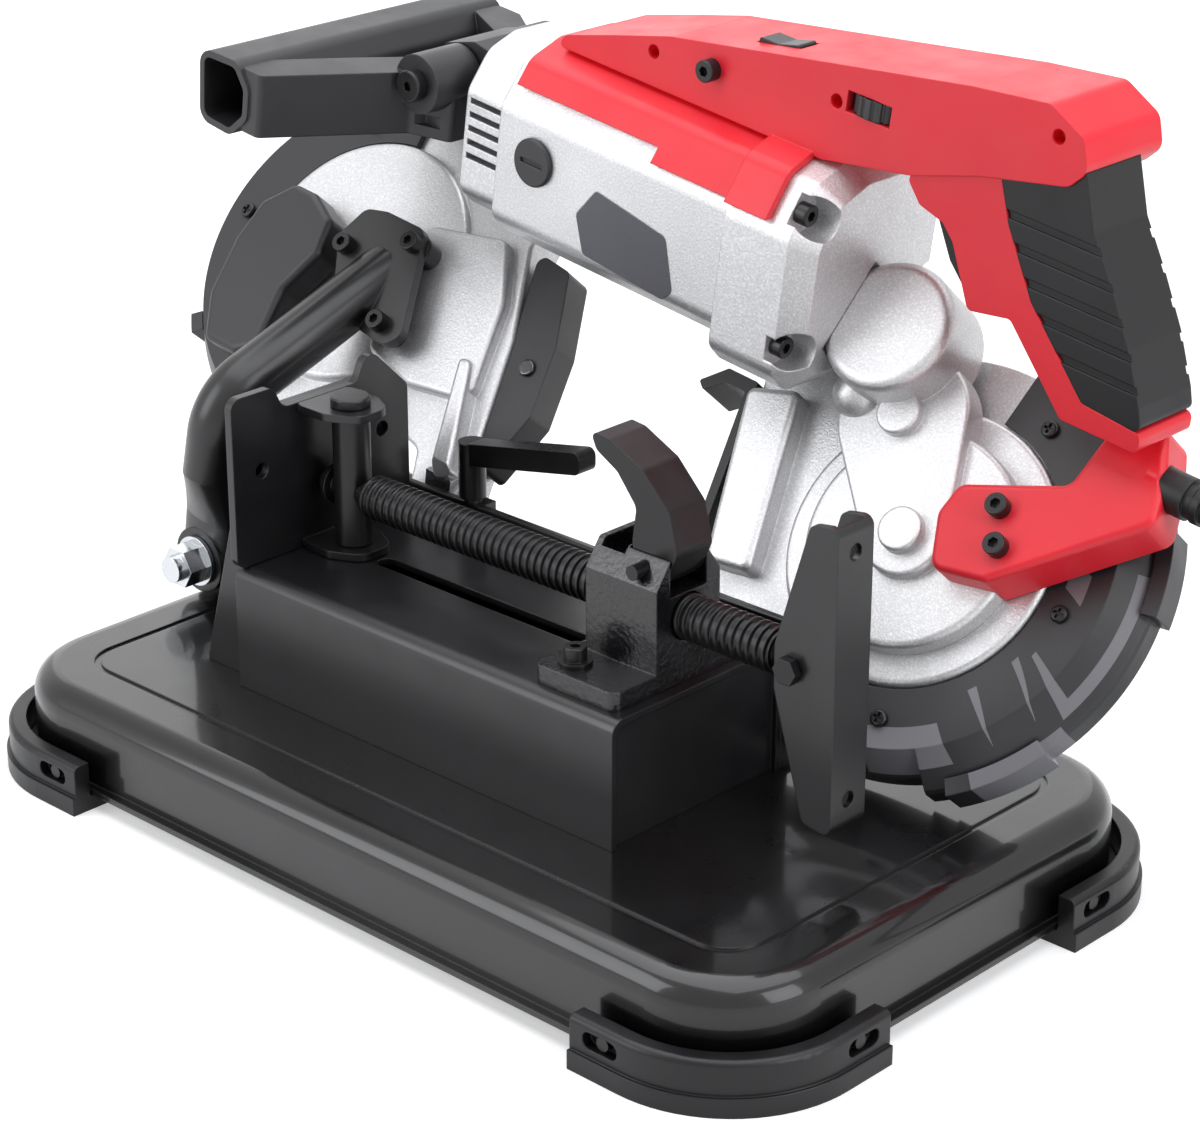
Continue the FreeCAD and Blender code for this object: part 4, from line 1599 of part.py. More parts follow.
def main():
    build_pan()
    build_feet()
    build_bed()
    build_jaws()
    build_screw()
    build_nut_block()
    build_clamp()
    pivot_hole = build_pivot()
    build_swing_arm(pivot_hole)
    case_clear = case_outside(seam)
    frame = open_guides(build_tension(build_frame()))
    caps = build_small(frame)
    keep_leaning("saw_frame", frame)
    build_fasteners(*build_guards())
    barrel = build_motor()
    keep_upright("motor_housing", barrel)
    keep_leaning("gear_case", build_gear_case())
    cap = build_cap(case_clear)
    keep_upright("gear_cap", cap)
    brushes = build_train()
    keep_upright("brush_sets", group(caps + brushes))
    build_blade()
    build_handle(case_clear)
    build_controls()
    build_front_handle()
    build_boot()
    whole = Part.makeCompound(list(nodes.values())).BoundBox
    shift = Vec(-whole.Center.x, -whole.Center.y, -whole.ZMin)
    for shape in nodes.values():
        shape.translate(shift)
    print("shift", [round(v, 3) for v in shift], "size", round(whole.XLength, 1), round(whole.YLength, 1),
          round(whole.ZLength, 1))
    tip = stand_saw(Part.Vertex(boot_x0 + boot_long, boot_y, boot_z)).Point + shift
    print("cord start", [round(v, 3) for v in tip])
    build_cord(tip)
    os.makedirs("parts", exist_ok=True)
    for name, shape in nodes.items():
        shape.exportStep("parts/" + name + ".step")
        print(name, len(shape.Solids), round(shape.Volume), shape.isValid())


main()
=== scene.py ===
"""Looks of a portable band saw swung on a bench stand with a screw vise."""

import math

import bmesh
import bpy
from bpy.props import FloatProperty, FloatVectorProperty, IntProperty, PointerProperty
from bpy.types import NodeSocket, Operator, Panel, PropertyGroup
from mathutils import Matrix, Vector


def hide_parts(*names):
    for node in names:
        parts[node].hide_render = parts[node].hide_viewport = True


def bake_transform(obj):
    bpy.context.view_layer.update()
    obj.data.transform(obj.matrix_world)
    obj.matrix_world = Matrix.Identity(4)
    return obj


bl_info = {
    "name": "Bench Band Saw",
    "version": (1, 0, 0),
    "blender": (4, 5, 0),
    "location": "View3D > Sidebar > Band Saw",
    "description": "Finishes, cord and studio for a portable band saw on a bench stand",
    "category": "Object",
}

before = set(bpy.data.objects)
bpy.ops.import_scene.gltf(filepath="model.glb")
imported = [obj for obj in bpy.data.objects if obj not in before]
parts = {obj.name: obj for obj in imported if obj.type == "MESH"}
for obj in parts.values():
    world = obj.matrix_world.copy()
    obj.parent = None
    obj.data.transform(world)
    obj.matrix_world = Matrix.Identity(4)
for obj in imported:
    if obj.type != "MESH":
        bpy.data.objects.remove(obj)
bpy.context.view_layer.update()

# Photograph's frame, in pixels
PHOTO_WIDE = 1200

# The saw's own frame: origin between its wheels, drooped about Y, with its wheels leaning back
SAW_ORIGIN = Vector((-0.025259, 0.07145, 0.15625))
SAW_DROOP = math.radians(8)
WHEEL_LEAN = math.radians(40)

# Half of the way from wheel to wheel, in millimetres
WHEEL_HALF_SPAN = 165

# The plated pivot nut lies left of the first and above the second
PIVOT_NUT_RIGHT = -0.15
PIVOT_NUT_LOW = 0.045

# Studio: floor's half width, its glow near the part and far off, and the soft light from all round
FLOOR_HALF = 5.0
FLOOR_NEAR, FLOOR_FAR = 0.7, 2.0
FLOOR_NEAR_GLOW, FLOOR_FAR_GLOW = 0.45, 1.0
SKY_FILL, SKY_SEEN = 0.06, 1.0
LAMP_TINT = (0.96, 0.97, 1.0)

# Softboxes, in metres: the centre, the point that it faces, its width and its height
OVERHEAD_BOX = ((0.0, 0.1, 1.6), (0, 0.05, 0), 2.2, 1.8)
LEFT_BOX = ((-0.9, -1.5, 0.9), (0, 0, 0.12), 1.0, 1.3)
RIGHT_BOX = ((1.7, 0.1, 0.8), (0, 0, 0.12), 1.0, 1.3)
BACK_BOX = ((-1.3, 1.4, 0.8), (0, 0, 0.08), 2.0, 1.1)

# Camera: its sensor in millimetres, and the nearest and farthest that it sees in metres
SENSOR_WIDE = 36.0
CAMERA_NEAR, CAMERA_FAR = 0.01, 50.0

MM = 0.001


def colour(name, description, default):
    return FloatVectorProperty(name=name, description=description, default=default, subtype="COLOR",
                               size=3, min=0.0, max=1.0)


def length(name, description, default):
    return FloatProperty(name=name, description=description, default=default, subtype="DISTANCE",
                         unit="LENGTH")


def angle(name, description, degrees):
    return FloatProperty(name=name, description=description, default=math.radians(degrees), subtype="ANGLE")


def power(name, description, default):
    return FloatProperty(name=name, description=description, default=default, unit="POWER")


class SawColours(PropertyGroup):
    """Colours of the finishes."""

    handle_red: colour("Handle red", "Moulded shells of the top handle", (0.83, 0.018, 0.034))
    silver: colour("Silver", "Blasted aluminium castings", (0.56, 0.56, 0.57))
    pan_black: colour("Pan black", "Glossy coat of the base pan", (0.003, 0.003, 0.0035))
    vise_black: colour("Vise black", "Satin paint of the vise and the swing arm", (0.005, 0.005, 0.006))
    guard_grey: colour("Guard grey", "Moulded wheel guards", (0.018, 0.018, 0.020))
    # Painted highlight: light grey laid on the right guard's facets where they would catch the lamps
    painted_highlight_grey: colour("Facet grey", "Light facets of the right guard", (0.19, 0.19, 0.205))
    grip_black: colour("Grip black", "Soft grip, feet, tyres and cord", (0.007, 0.007, 0.008))
    plate_grey: colour("Plate grey", "Bare plate on the motor", (0.085, 0.085, 0.100))
    zinc: colour("Zinc", "Plated nut and washers", (0.62, 0.64, 0.66))
    tool_steel: colour("Tool steel", "Gears, shafts and blade", (0.45, 0.45, 0.46))
    copper: colour("Copper", "Armature and stator", (0.62, 0.27, 0.13))
    floor_white: colour("Floor white", "Studio floor", (0.82, 0.82, 0.82))


class SawSizes(PropertyGroup):
    """Sizes a user would change."""

    cord_thick: length("Cord", "Diameter of the mains cord", 0.008)
    coil_radius: length("Coil radius", "Outer turn of the put-away cord", 0.0585)
    coil_pitch: length("Coil pitch", "Step from one turn to the next", 0.00867)
    coil_layer: length("Coil layer", "Rise from the floor turns to the top ones", 0.00855)
    coil_turns: IntProperty(name="Coil turns", description="Turns in each layer", default=3, min=1)


class StudioSettings(PropertyGroup):
    """Camera and lamps."""

    target: FloatVectorProperty(name="Target", description="Point that the camera looks at",
                                default=(-0.028229, 0.06338, 0.08025), subtype="TRANSLATION", size=3)
    distance: length("Distance", "Camera to target", 1.4445)
    azimuth: angle("Azimuth", "Camera round to the right of the front", 43.6)
    elevation: angle("Elevation", "Camera above the floor", 23.1)
    focal_pixels: FloatProperty(name="Focal length", description="In pixels of the photograph",
                                default=3340.0)
    overhead: power("Overhead", "Power of the overhead softbox", 31.0)
    side: power("Side", "Power of each side softbox", 15.0)
    back: power("Back", "Power of the softbox behind", 5.0)


def saw_point(x, y, z):
    """Point in the drooped saw's frame, in millimetres, as a place in metres."""
    along = Vector((math.cos(SAW_DROOP), 0, -math.sin(SAW_DROOP)))
    up = Vector((math.sin(SAW_DROOP), 0, math.cos(SAW_DROOP)))
    return SAW_ORIGIN + (along * x + Vector((0, y, 0)) + up * z) * MM


def wheel_point(x, across, out):
    """Point in the wheels' leaning plane, in millimetres, as a place in metres."""
    lean_sin, lean_cos = math.sin(WHEEL_LEAN), math.cos(WHEEL_LEAN)
    return saw_point(x, across * lean_sin - out * lean_cos, across * lean_cos + out * lean_sin)


# Materials

OXIDE_BLACK = (0.012, 0.012, 0.013)
THREAD_BLACK = (0.016, 0.016, 0.017)
LENS_BLACK = (0.012, 0.012, 0.014)

# Match of the rounded normal with the flat one where an edge shows in full, and where it ends
EDGE_FULL, EDGE_NONE = 0.75, 0.985

# Specks: the noise at which they start and are in full, and how much lighter they are
SPECK_START, SPECK_FULL = 0.45, 0.7
SPECK_LIGHT = 1.9

# Scuffs on edges: the size of their patches in metres, and the least share of wear between them
SCUFF_SIZE = 0.006
SCUFF_LEAST_SHARE = 0.15


def feed(tree, socket, value):
    """Sets a socket to a value, or links another node's output to it."""
    if isinstance(value, NodeSocket):
        tree.links.new(value, socket)
    else:
        socket.default_value = value


def put(tree, kind, settings=None, **sockets):
    """New node with its settings, and each socket set to a value or linked."""
    made = tree.nodes.new(kind)
    for name, value in (settings or {}).items():
        setattr(made, name, value)
    for name, value in sockets.items():
        feed(tree, made.inputs[name.replace("_", " ")], value)
    return made


def place(tree, stretch=(1, 1, 1)):
    """Object coordinates, stretched where a finish has a direction."""
    where = put(tree, "ShaderNodeTexCoord")
    if stretch == (1, 1, 1):
        return where.outputs["Object"]
    return put(tree, "ShaderNodeMapping", Vector=where.outputs["Object"], Scale=stretch).outputs["Vector"]


def grain(tree, size, detail=2.0, stretch=(1, 1, 1)):
    """Noise with grains of about that size, in metres."""
    noise = put(tree, "ShaderNodeTexNoise", Vector=place(tree, stretch), Scale=1.0 / size, Detail=detail)
    return noise.outputs["Fac"]


def spread(tree, value, low, high, start=0.3, end=0.7):
    """Value from start to end, spread to low and high."""
    return put(tree, "ShaderNodeMapRange", Value=value, From_Min=start, From_Max=end, To_Min=low,
               To_Max=high).outputs["Result"]


def blend_colour(tree, share, first, second):
    mix = put(tree, "ShaderNodeMix", {"data_type": "RGBA"})
    for socket, value in ((mix.inputs["Factor"], share), (mix.inputs[6], first), (mix.inputs[7], second)):
        feed(tree, socket, value)
    return mix.outputs[2]


def shade(tint, factor):
    """Colour with its light scaled, as four numbers."""
    return tuple(min(1.0, part * factor) for part in tint) + (1.0,)


def rounded_edges(tree, radius):
    """Normal rounded over sharp edges, and a mask that is 1 on them."""
    bevel = put(tree, "ShaderNodeBevel", {"samples": 6}, Radius=radius)
    flat = put(tree, "ShaderNodeNewGeometry")
    match = put(tree, "ShaderNodeVectorMath", {"operation": "DOT_PRODUCT"})
    tree.links.new(bevel.outputs["Normal"], match.inputs[0])
    tree.links.new(flat.outputs["Normal"], match.inputs[1])
    mask = spread(tree, match.outputs["Value"], 1.0, 0.0, EDGE_FULL, EDGE_NONE)
    return bevel.outputs["Normal"], mask


def measure(tree, kind, *values):
    """Math node on up to three values or links."""
    made = put(tree, "ShaderNodeMath", {"operation": kind})
    for socket, value in zip(made.inputs, values):
        feed(tree, socket, value)
    return made.outputs["Value"]


def times(tree, first, second):
    return measure(tree, "MULTIPLY", first, second)


def finish(name, tint, rough=(0.3, 0.42), metal=0.0, coat=0.0, coat_rough=0.1, specular=0.5,
           grain_size=0.0008, grain_deep=0.00002, patch_size=0.06, patch_share=0.12, speck=0.1,
           edge=0.0007, wear=1.6, wear_share=0.5, stretch=(1, 1, 1)):
    """Material with a grained surface, uneven gloss and worn, rounded edges."""
    material = bpy.data.materials.new(name)
    material.use_nodes = True
    tree = material.node_tree
    shader = tree.nodes["Principled BSDF"]
    shader.inputs["Metallic"].default_value = metal
    shader.inputs["Coat Weight"].default_value = coat
    shader.inputs["Coat Roughness"].default_value = coat_rough
    shader.inputs["Specular IOR Level"].default_value = specular
    fine = grain(tree, grain_size, detail=3.0, stretch=stretch)
    patch = grain(tree, patch_size, detail=4.0)
    normal, mask = rounded_edges(tree, edge)
    body = blend_colour(tree, spread(tree, patch, 0.0, 1.0), shade(tint, 1 - patch_share),
                        shade(tint, 1 + patch_share))
    specks = spread(tree, fine, 0.0, speck, SPECK_START, SPECK_FULL)
    dots = blend_colour(tree, specks, body, shade(tint, SPECK_LIGHT))
    rubbed = spread(tree, grain(tree, SCUFF_SIZE, detail=4.0), SCUFF_LEAST_SHARE, 1.0)
    scuffs = times(tree, times(tree, mask, rubbed), wear_share)
    tree.links.new(blend_colour(tree, scuffs, dots, shade(tint, wear)), shader.inputs["Base Color"])
    gloss = grain(tree, patch_size / 3, detail=5.0)
    tree.links.new(spread(tree, gloss, *rough), shader.inputs["Roughness"])
    bump = put(tree, "ShaderNodeBump", Strength=1.0, Distance=grain_deep, Height=fine, Normal=normal)
    tree.links.new(bump.outputs["Normal"], shader.inputs["Normal"])
    return material


def pan_gloss(colours):
    """Thick glossy black coat with a faint orange peel."""
    return finish("pan_gloss", colours.pan_black, rough=(0.26, 0.34), coat=0.6, coat_rough=0.08,
                  specular=0.25, grain_size=0.006, grain_deep=0.000008, patch_share=0.2, edge=0.0012,
                  wear=2.5, wear_share=0.2)


def vise_paint(colours):
    """Satin black paint on bent and welded sheet."""
    return finish("vise_paint", colours.vise_black, rough=(0.32, 0.42), coat=0.3, coat_rough=0.2,
                  specular=0.4, grain_size=0.003, grain_deep=0.00002, patch_share=0.25, edge=0.0009,
                  wear=6.0, wear_share=0.35)


def hammered_black(colours):
    """Painted rough casting."""
    return finish("hammered_black", colours.vise_black, rough=(0.2, 0.34), coat=0.4, coat_rough=0.12,
                  specular=0.4, grain_size=0.0024, grain_deep=0.0005, patch_share=0.3, edge=0.0012,
                  wear=5.0, wear_share=0.25)


def black_oxide(name):
    """Oiled black steel of screws and levers."""
    return finish(name, OXIDE_BLACK, rough=(0.26, 0.38), metal=0.3, specular=0.5,
                  grain_size=0.0006, grain_deep=0.00001, patch_share=0.3, edge=0.0004, wear=9.0,
                  wear_share=0.4)


def thread_steel():
    """Blackened screw with crests rubbed bright."""
    return finish("thread_steel", THREAD_BLACK, rough=(0.24, 0.36), metal=0.5, grain_size=0.0008,
                  grain_deep=0.00001, patch_share=0.3, edge=0.0005, wear=9.0, wear_share=0.7)


def blasted_silver(colours):
    """Blasted aluminium casting, bright grains over grey."""
    return finish("blasted_silver", colours.silver, rough=(0.36, 0.48), metal=0.75, grain_size=0.0009,
                  grain_deep=0.00014, patch_share=0.07, speck=0.35, edge=0.0009, wear=1.35,
                  wear_share=0.5)


def red_shell(colours):
    """Satin moulded plastic with a fine spark texture."""
    return finish("red_shell", colours.handle_red, rough=(0.36, 0.48), specular=0.5, grain_size=0.0007,
                  grain_deep=0.00002, patch_share=0.05, speck=0.04, edge=0.0007, wear=1.25,
                  wear_share=0.3)


def guard_plastic(name, colours):
    """Dark glass-filled plastic."""
    return finish(name, colours.guard_grey, rough=(0.36, 0.48), specular=0.5, grain_size=0.0009,
                  grain_deep=0.00003, patch_share=0.12, edge=0.0009, wear=3.0, wear_share=0.4)


def wheel_polar(tree, centre):
    """Distance in metres and turn in degrees about a wheel's axis."""
    away = put(tree, "ShaderNodeVectorMath", {"operation": "SUBTRACT"})
    tree.links.new(place(tree), away.inputs[0])
    away.inputs[1].default_value = centre
    spans = []
    for way in (wheel_point(1, 0, 0) - wheel_point(0, 0, 0), wheel_point(0, 1, 0) - wheel_point(0, 0, 0)):
        along = put(tree, "ShaderNodeVectorMath", {"operation": "DOT_PRODUCT"})
        tree.links.new(away.outputs["Vector"], along.inputs[0])
        along.inputs[1].default_value = way.normalized()
        spans.append(along.outputs["Value"])
    squares = [measure(tree, "MULTIPLY", span, span) for span in spans]
    distance = measure(tree, "SQRT", measure(tree, "ADD", *squares))
    turn = measure(tree, "DEGREES", measure(tree, "ARCTAN2", spans[1], spans[0]))
    return distance, turn


# Painted highlights on the right guard's facets, where they would catch the lamps: inner and outer radius in
# millimetres, then the middle and half width in degrees at the inner one and at the outer one
GUARD_PAINTED_HIGHLIGHTS = [
    (91, 95, 1, 18, 1, 18),
    (96, 106, -34, 12, -34, 12),
    (70, 95, -14, 1, -18.7, 1.8),
    (66, 90, -37.2, 1.7, -38, 0.05),
    (66, 90, -19.7, 1.5, -25.8, 0.05),
    (75, 91, -63, 12, -61, 12),
    (66, 75, 16, 6, 10.5, 4.8),
]


def guard_with_painted_highlights(colours):
    """Guard plastic with painted highlights: light grey on the facets that would catch the lamps."""
    material = guard_plastic("guard_with_painted_highlights", colours)
    tree = material.node_tree
    shader = tree.nodes["Principled BSDF"]
    distance, turn = wheel_polar(tree, wheel_point(WHEEL_HALF_SPAN, 0, 0))
    light = 0.0
    for inner, outer, first, first_half, last, last_half in GUARD_PAINTED_HIGHLIGHTS:
        middle = spread(tree, distance, first, last, inner * MM, outer * MM)
        half = spread(tree, distance, first_half, last_half, inner * MM, outer * MM)
        ring = measure(tree, "COMPARE", distance, (inner + outer) / 2 * MM, (outer - inner) / 2 * MM)
        highlight_patch = times(tree, ring, measure(tree, "COMPARE", turn, middle, half))
        light = measure(tree, "MAXIMUM", light, highlight_patch)
    base = shader.inputs["Base Color"].links[0].from_socket
    # Painted highlight: light grey over the facets, mixed into the guard's own colour
    tree.links.new(blend_colour(tree, light, base, shade(colours.painted_highlight_grey, 1)), shader.inputs["Base Color"])
    return material


def soft_black(name, colours, rough=(0.38, 0.5)):
    """Soft rubber, paler on rubbed edges."""
    return finish(name, colours.grip_black, rough=rough, specular=0.35, grain_size=0.0006,
                  grain_deep=0.00002, patch_share=0.15, edge=0.0009, wear=2.8, wear_share=0.3)


def plated(colours):
    """Bright zinc, a little blue."""
    return finish("plated", colours.zinc, rough=(0.16, 0.3), metal=1.0, grain_size=0.0008,
                  grain_deep=0.00001, patch_share=0.12, edge=0.0004, wear=1.3, wear_share=0.5)


def ground_steel(colours):
    """Ground and oiled steel."""
    return finish("ground_steel", colours.tool_steel, rough=(0.2, 0.34), metal=1.0, grain_size=0.0005,
                  grain_deep=0.00001, patch_share=0.15, edge=0.0003, wear=1.5, wear_share=0.5,
                  stretch=(0.15, 1, 1))


def bare_plate(colours):
    """Bare grey plate with a brushed grain."""
    return finish("bare_plate", colours.plate_grey, rough=(0.36, 0.46), metal=0.3, grain_size=0.0005,
                  grain_deep=0.00001, patch_share=0.08, edge=0.0005, wear=2.0, wear_share=0.4,
                  stretch=(0.1, 1, 1))


def wound_copper(colours):
    """Enamelled copper and iron of the motor."""
    return finish("wound_copper", colours.copper, rough=(0.3, 0.45), metal=0.9, grain_size=0.0009,
                  grain_deep=0.00015, patch_share=0.25, edge=0.0004, wear=1.3, wear_share=0.4,
                  stretch=(0.1, 1, 1))


def smoked_lens():
    """Smoked window of the work light."""
    return finish("smoked_lens", LENS_BLACK, rough=(0.04, 0.08), coat=1.0, coat_rough=0.03,
                  grain_size=0.002, grain_deep=0.00001, patch_share=0.03, edge=0.0004, wear=1.05,
                  wear_share=0.2)


def dress(material, *names):
    """Gives CAD nodes a finish."""
    for name in names:
        mesh = parts[name].data
        mesh.materials.clear()
        mesh.materials.append(material)


def dress_where(name, material, inside):
    """Second finish for the faces of a node whose middle passes a test."""
    mesh = parts[name].data
    mesh.materials.append(material)
    last = len(mesh.materials) - 1
    for face in mesh.polygons:
        if inside(face.center):
            face.material_index = last


def on_pivot_nut(spot):
    return spot.x < PIVOT_NUT_RIGHT and spot.z > PIVOT_NUT_LOW


# Cord

CORD_EXIT = (0.281946, 0.09845, 0.169675)
CORD_ROUTE = [(0.325, 0.097, 0.164), (0.367, 0.104, 0.142), (0.396, 0.124, 0.110), (0.409, 0.154, 0.072),
              (0.404, 0.184, 0.037), (0.383, 0.202, 0.015), (0.351, 0.2035, 0.0056), (0.331, 0.202, 0.0054)]
# Coil: its climb to the top turns, the dip inwards on the way, its points per turn, and the tail after it
COIL_CLIMB_TURNS = 0.5
COIL_DIP = 0.002
COIL_STEPS = 16
CORD_TAIL = 0.050


def coil_spot(sizes, wound, centre, low):
    """Place on the coil after a number of turns: in on the floor, up, and out on top."""
    inner = sizes.coil_radius - sizes.coil_pitch * sizes.coil_turns
    if wound <= sizes.coil_turns:
        radius, z = sizes.coil_radius - sizes.coil_pitch * wound, low
    elif wound <= sizes.coil_turns + COIL_CLIMB_TURNS:
        share = (wound - sizes.coil_turns) / COIL_CLIMB_TURNS
        radius = inner - COIL_DIP * math.sin(math.pi * share) ** 2
        z = low + sizes.coil_layer * share * share * (3 - 2 * share)
    else:
        radius = inner + sizes.coil_pitch * (wound - sizes.coil_turns - COIL_CLIMB_TURNS)
        z = low + sizes.coil_layer
    turn = math.pi / 2 + math.tau * wound
    return Vector((centre.x + radius * math.cos(turn), centre.y + radius * math.sin(turn), z))


def cord_points(sizes):
    """Control points of the cord: its free run, its coil and its straight tail."""
    points = [Vector(CORD_EXIT)] + [Vector(point) for point in CORD_ROUTE]
    start = points[-1]
    centre = Vector((start.x, start.y - sizes.coil_radius, 0))
    total = sizes.coil_turns * 2 + COIL_CLIMB_TURNS
    steps = int(total * COIL_STEPS)
    points += [coil_spot(sizes, total * i / steps, centre, start.z) for i in range(1, steps + 1)]
    way = Vector((math.copysign(1, points[-1].x - points[-2].x), 0, 0))
    points += [points[-1] + way * CORD_TAIL * share for share in (0.5, 1.0)]
    return points


def nurbs_line(points, thick):
    """Smooth curve object led by control points, a round tube where thick is not zero."""
    data = bpy.data.curves.new("cord_line", "CURVE")
    data.dimensions = "3D"
    data.resolution_u = 8
    data.bevel_depth = thick / 2
    data.bevel_resolution = 5
    data.use_fill_caps = True
    spline = data.splines.new("NURBS")
    spline.points.add(len(points) - 1)
    for spot, point in zip(spline.points, points):
        spot.co = (*point, 1.0)
    spline.order_u = 3
    spline.use_endpoint_u = True
    line = bpy.data.objects.new("cord_line", data)
    bpy.context.scene.collection.objects.link(line)
    return line


def mesh_of(line):
    """Mesh of a curve object, which is then removed."""
    bpy.context.view_layer.update()
    shown = line.evaluated_get(bpy.context.evaluated_depsgraph_get())
    mesh = bpy.data.meshes.new_from_object(shown)
    data = line.data
    bpy.data.objects.remove(line)
    bpy.data.curves.remove(data)
    return mesh


class BANDSAW_OT_cord(Operator):
    """Mains cord from the boot to the floor, wound into a tied coil"""

    bl_idname = "bandsaw.cord"
    bl_label = "Mains Cord"

    def execute(self, context):
        sizes, colours = context.scene.saw_sizes, context.scene.saw_colours
        points = cord_points(sizes)
        path_mesh = mesh_of(nurbs_line(points, 0.0))
        bpy.data.meshes.remove(path_mesh)
        mesh = mesh_of(nurbs_line(points, sizes.cord_thick))
        mesh.name = "mains_cord"
        mesh.polygons.foreach_set("use_smooth", [True] * len(mesh.polygons))
        rubber = soft_black("cord_rubber", colours)
        mesh.materials.clear()
        mesh.materials.append(rubber)
        cord = bpy.data.objects.new("mains_cord", mesh)
        context.scene.collection.objects.link(cord)
        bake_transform(cord)
        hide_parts("cord_run", "cord_coil")
        dress(rubber, "cord_boot", "cord_tie", "plug")
        return {"FINISHED"}


class BANDSAW_OT_stand(Operator):
    """Base pan, feet, bed, jaws and swing arm of the stand"""

    bl_idname = "bandsaw.stand"
    bl_label = "Bench Stand"

    def execute(self, context):
        colours = context.scene.saw_colours
        dress(pan_gloss(colours), "base_pan")
        dress(vise_paint(colours), "bed_channel", "rear_rail", "pivot_bracket", "swing_arm", "fixed_jaw",
              "movable_jaw", "crank_handle")
        dress(soft_black("foot_rubber", colours, rough=(0.3, 0.42)), "feet")
        return {"FINISHED"}


class BANDSAW_OT_vise(Operator):
    """Screw, nut block, levers and fixings of the vise"""

    bl_idname = "bandsaw.vise"
    bl_label = "Vise"

    def execute(self, context):
        colours = context.scene.saw_colours
        dress(hammered_black(colours), "nut_block")
        dress(thread_steel(), "vise_screw", "half_nut")
        dress(black_oxide("lever_black"), "release_lever", "clamp_lever", "crank_pin", "pivot_tube",
              "work_stop")
        dress(black_oxide("bolt_black"), "stand_fixings")
        dress_where("stand_fixings", plated(colours), on_pivot_nut)
        return {"FINISHED"}


class BANDSAW_OT_castings(Operator):
    """Silver frame, motor and gear castings"""

    bl_idname = "bandsaw.castings"
    bl_label = "Castings"

    def execute(self, context):
        colours = context.scene.saw_colours
        dress(blasted_silver(colours), "saw_frame", "motor_housing", "end_bell", "gear_cap", "gear_case")
        dress(bare_plate(colours), "nameplate")
        dress(black_oxide("screw_black"), "socket_screws", "cross_screws", "front_handle_bolt")
        return {"FINISHED"}


class BANDSAW_OT_handles(Operator):
    """Handles, controls, wheel guards and work light"""

    bl_idname = "bandsaw.handles"
    bl_label = "Handles"

    def execute(self, context):
        colours = context.scene.saw_colours
        dress(red_shell(colours), "handle_shell")
        dress(soft_black("grip_soft", colours), "grip_rubber", "trigger")
        dress(guard_plastic("guard_plastic", colours), "front_handle", "handle_lug", "rocker", "speed_dial",
              "brush_sets", "tension_lever", "guard_left", "light_cover")
        # Right guard with painted highlights on its facets
        dress(guard_with_painted_highlights(colours), "guard_right")
        dress(smoked_lens(), "light_lens")
        return {"FINISHED"}


class BANDSAW_OT_drive(Operator):
    """Motor, gears, wheels and blade"""

    bl_idname = "bandsaw.drive"
    bl_label = "Drive"

    def execute(self, context):
        colours = context.scene.saw_colours
        dress(wound_copper(colours), "armature", "stator")
        dress(ground_steel(colours), "second_shaft", "cross_shaft", "idler_shaft", "drive_gear", "bearings",
              "blade_guides", "idler_slide", "blade", "drive_wheel", "idler_wheel")
        dress(soft_black("tyre_rubber", colours), "drive_tyre", "idler_tyre")
        return {"FINISHED"}


# Studio

def softbox(name, centre, aim, wide, high, watts):
    lamp = bpy.data.lights.new(name, "AREA")
    lamp.shape = "RECTANGLE"
    lamp.size, lamp.size_y = wide, high
    lamp.energy = watts
    lamp.color = LAMP_TINT
    light = bpy.data.objects.new(name, lamp)
    light.location = centre
    light.rotation_mode = "QUATERNION"
    light.rotation_quaternion = (Vector(aim) - Vector(centre)).to_track_quat("-Z", "Y")
    bpy.context.scene.collection.objects.link(light)


def seen_directly(tree):
    """1 on rays from the camera, off gloss and through glass, and 0 on diffuse light."""
    path = put(tree, "ShaderNodeLightPath")
    mirrored = measure(tree, "MAXIMUM", path.outputs["Is Glossy Ray"], path.outputs["Is Transmission Ray"])
    return measure(tree, "MAXIMUM", path.outputs["Is Camera Ray"], mirrored)


def floor_finish(tint):
    """Pale floor that keeps the shadow and shows white to the camera."""
    material = bpy.data.materials.new("studio_floor")
    material.use_nodes = True
    tree = material.node_tree
    shader = tree.nodes["Principled BSDF"]
    shader.inputs["Roughness"].default_value = 0.9
    shader.inputs["Specular IOR Level"].default_value = 0.1
    shader.inputs["Base Color"].default_value = (*tint, 1.0)
    away = put(tree, "ShaderNodeVectorMath", {"operation": "LENGTH"})
    tree.links.new(place(tree), away.inputs[0])
    white = spread(tree, away.outputs["Value"], FLOOR_NEAR_GLOW, FLOOR_FAR_GLOW, FLOOR_NEAR, FLOOR_FAR)
    shader.inputs["Emission Color"].default_value = (1.0, 1.0, 1.0, 1.0)
    tree.links.new(times(tree, seen_directly(tree), white), shader.inputs["Emission Strength"])
    return material


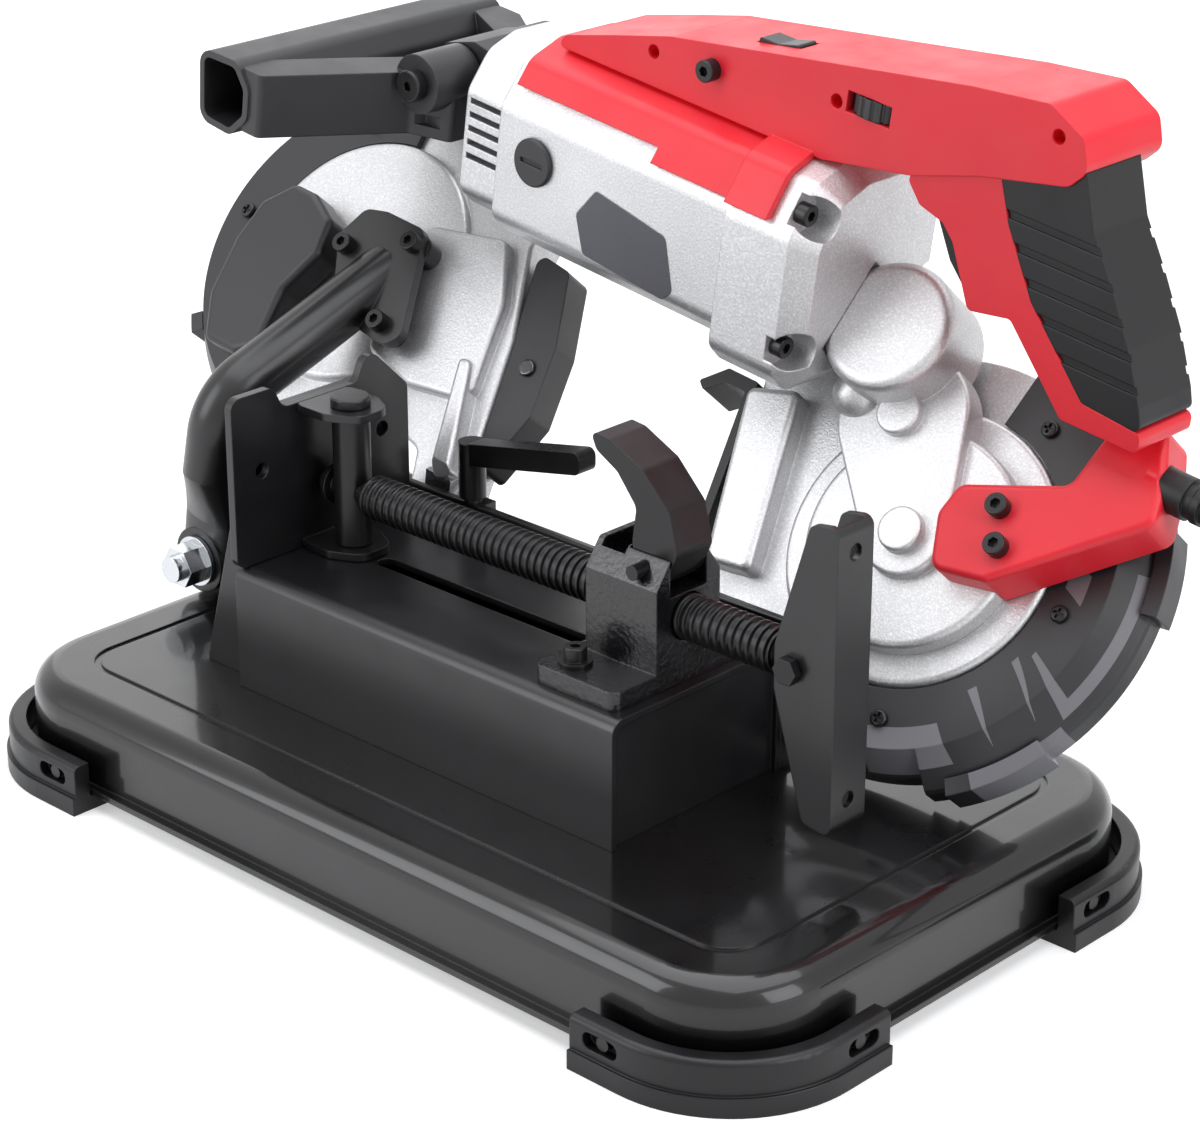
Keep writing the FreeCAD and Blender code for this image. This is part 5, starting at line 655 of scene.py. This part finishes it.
class BANDSAW_OT_studio(Operator):
    """Pale floor, soft lamps and the photograph's camera"""

    bl_idname = "bandsaw.studio"
    bl_label = "Studio"

    def execute(self, context):
        scene, studio = context.scene, context.scene.saw_studio
        shape = bmesh.new()
        bmesh.ops.create_grid(shape, x_segments=1, y_segments=1, size=FLOOR_HALF)
        mesh = bpy.data.meshes.new("floor")
        shape.to_mesh(mesh)
        shape.free()
        mesh.materials.append(floor_finish(scene.saw_colours.floor_white))
        floor = bpy.data.objects.new("floor", mesh)
        scene.collection.objects.link(floor)

        target = Vector(studio.target)
        turn, rise = studio.azimuth, studio.elevation
        back = Vector((math.sin(turn) * math.cos(rise), -math.cos(turn) * math.cos(rise), math.sin(rise)))
        eye = bpy.data.cameras.new("photo_camera")
        eye.sensor_width = SENSOR_WIDE
        eye.lens = SENSOR_WIDE * studio.focal_pixels / PHOTO_WIDE
        eye.clip_start, eye.clip_end = CAMERA_NEAR, CAMERA_FAR
        camera = bpy.data.objects.new("photo_camera", eye)
        camera.location = target + back * studio.distance
        camera.rotation_mode = "QUATERNION"
        camera.rotation_quaternion = (-back).to_track_quat("-Z", "Y")
        scene.collection.objects.link(camera)
        scene.camera = camera

        softbox("overhead", *OVERHEAD_BOX, studio.overhead)
        softbox("left_side", *LEFT_BOX, studio.side)
        softbox("right_side", *RIGHT_BOX, studio.side)
        softbox("back_left", *BACK_BOX, studio.back)

        world = bpy.data.worlds.new("studio")
        scene.world = world
        world.use_nodes = True
        sky = world.node_tree
        background = sky.nodes["Background"]
        background.inputs["Color"].default_value = (1.0, 1.0, 1.0, 1.0)
        strength = spread(sky, seen_directly(sky), SKY_FILL, SKY_SEEN, 0.0, 1.0)
        sky.links.new(strength, background.inputs["Strength"])
        scene.view_settings.view_transform = "Standard"
        return {"FINISHED"}


class BANDSAW_PT_panel(Panel):
    """Sidebar list of the saw's pieces"""

    bl_idname = "BANDSAW_PT_panel"
    bl_label = "Band Saw"
    bl_space_type = "VIEW_3D"
    bl_region_type = "UI"
    bl_category = "Band Saw"

    def draw(self, context):
        for operator in OPERATORS:
            self.layout.operator(operator.bl_idname)
        for group in (context.scene.saw_colours, context.scene.saw_sizes, context.scene.saw_studio):
            for name in group.__annotations__:
                self.layout.prop(group, name)


GROUPS = (SawColours, SawSizes, StudioSettings)
OPERATORS = (BANDSAW_OT_studio, BANDSAW_OT_stand, BANDSAW_OT_vise, BANDSAW_OT_castings, BANDSAW_OT_handles,
             BANDSAW_OT_drive, BANDSAW_OT_cord)


def register():
    for item in (*GROUPS, *OPERATORS, BANDSAW_PT_panel):
        bpy.utils.register_class(item)
    bpy.types.Scene.saw_colours = PointerProperty(type=SawColours)
    bpy.types.Scene.saw_sizes = PointerProperty(type=SawSizes)
    bpy.types.Scene.saw_studio = PointerProperty(type=StudioSettings)


def unregister():
    for name in ("saw_colours", "saw_sizes", "saw_studio"):
        delattr(bpy.types.Scene, name)
    for item in reversed((*GROUPS, *OPERATORS, BANDSAW_PT_panel)):
        bpy.utils.unregister_class(item)


def main():
    register()
    bpy.ops.bandsaw.studio()
    bpy.ops.bandsaw.stand()
    bpy.ops.bandsaw.vise()
    bpy.ops.bandsaw.castings()
    bpy.ops.bandsaw.handles()
    bpy.ops.bandsaw.drive()
    bpy.ops.bandsaw.cord()


if __name__ == "__main__":
    main()
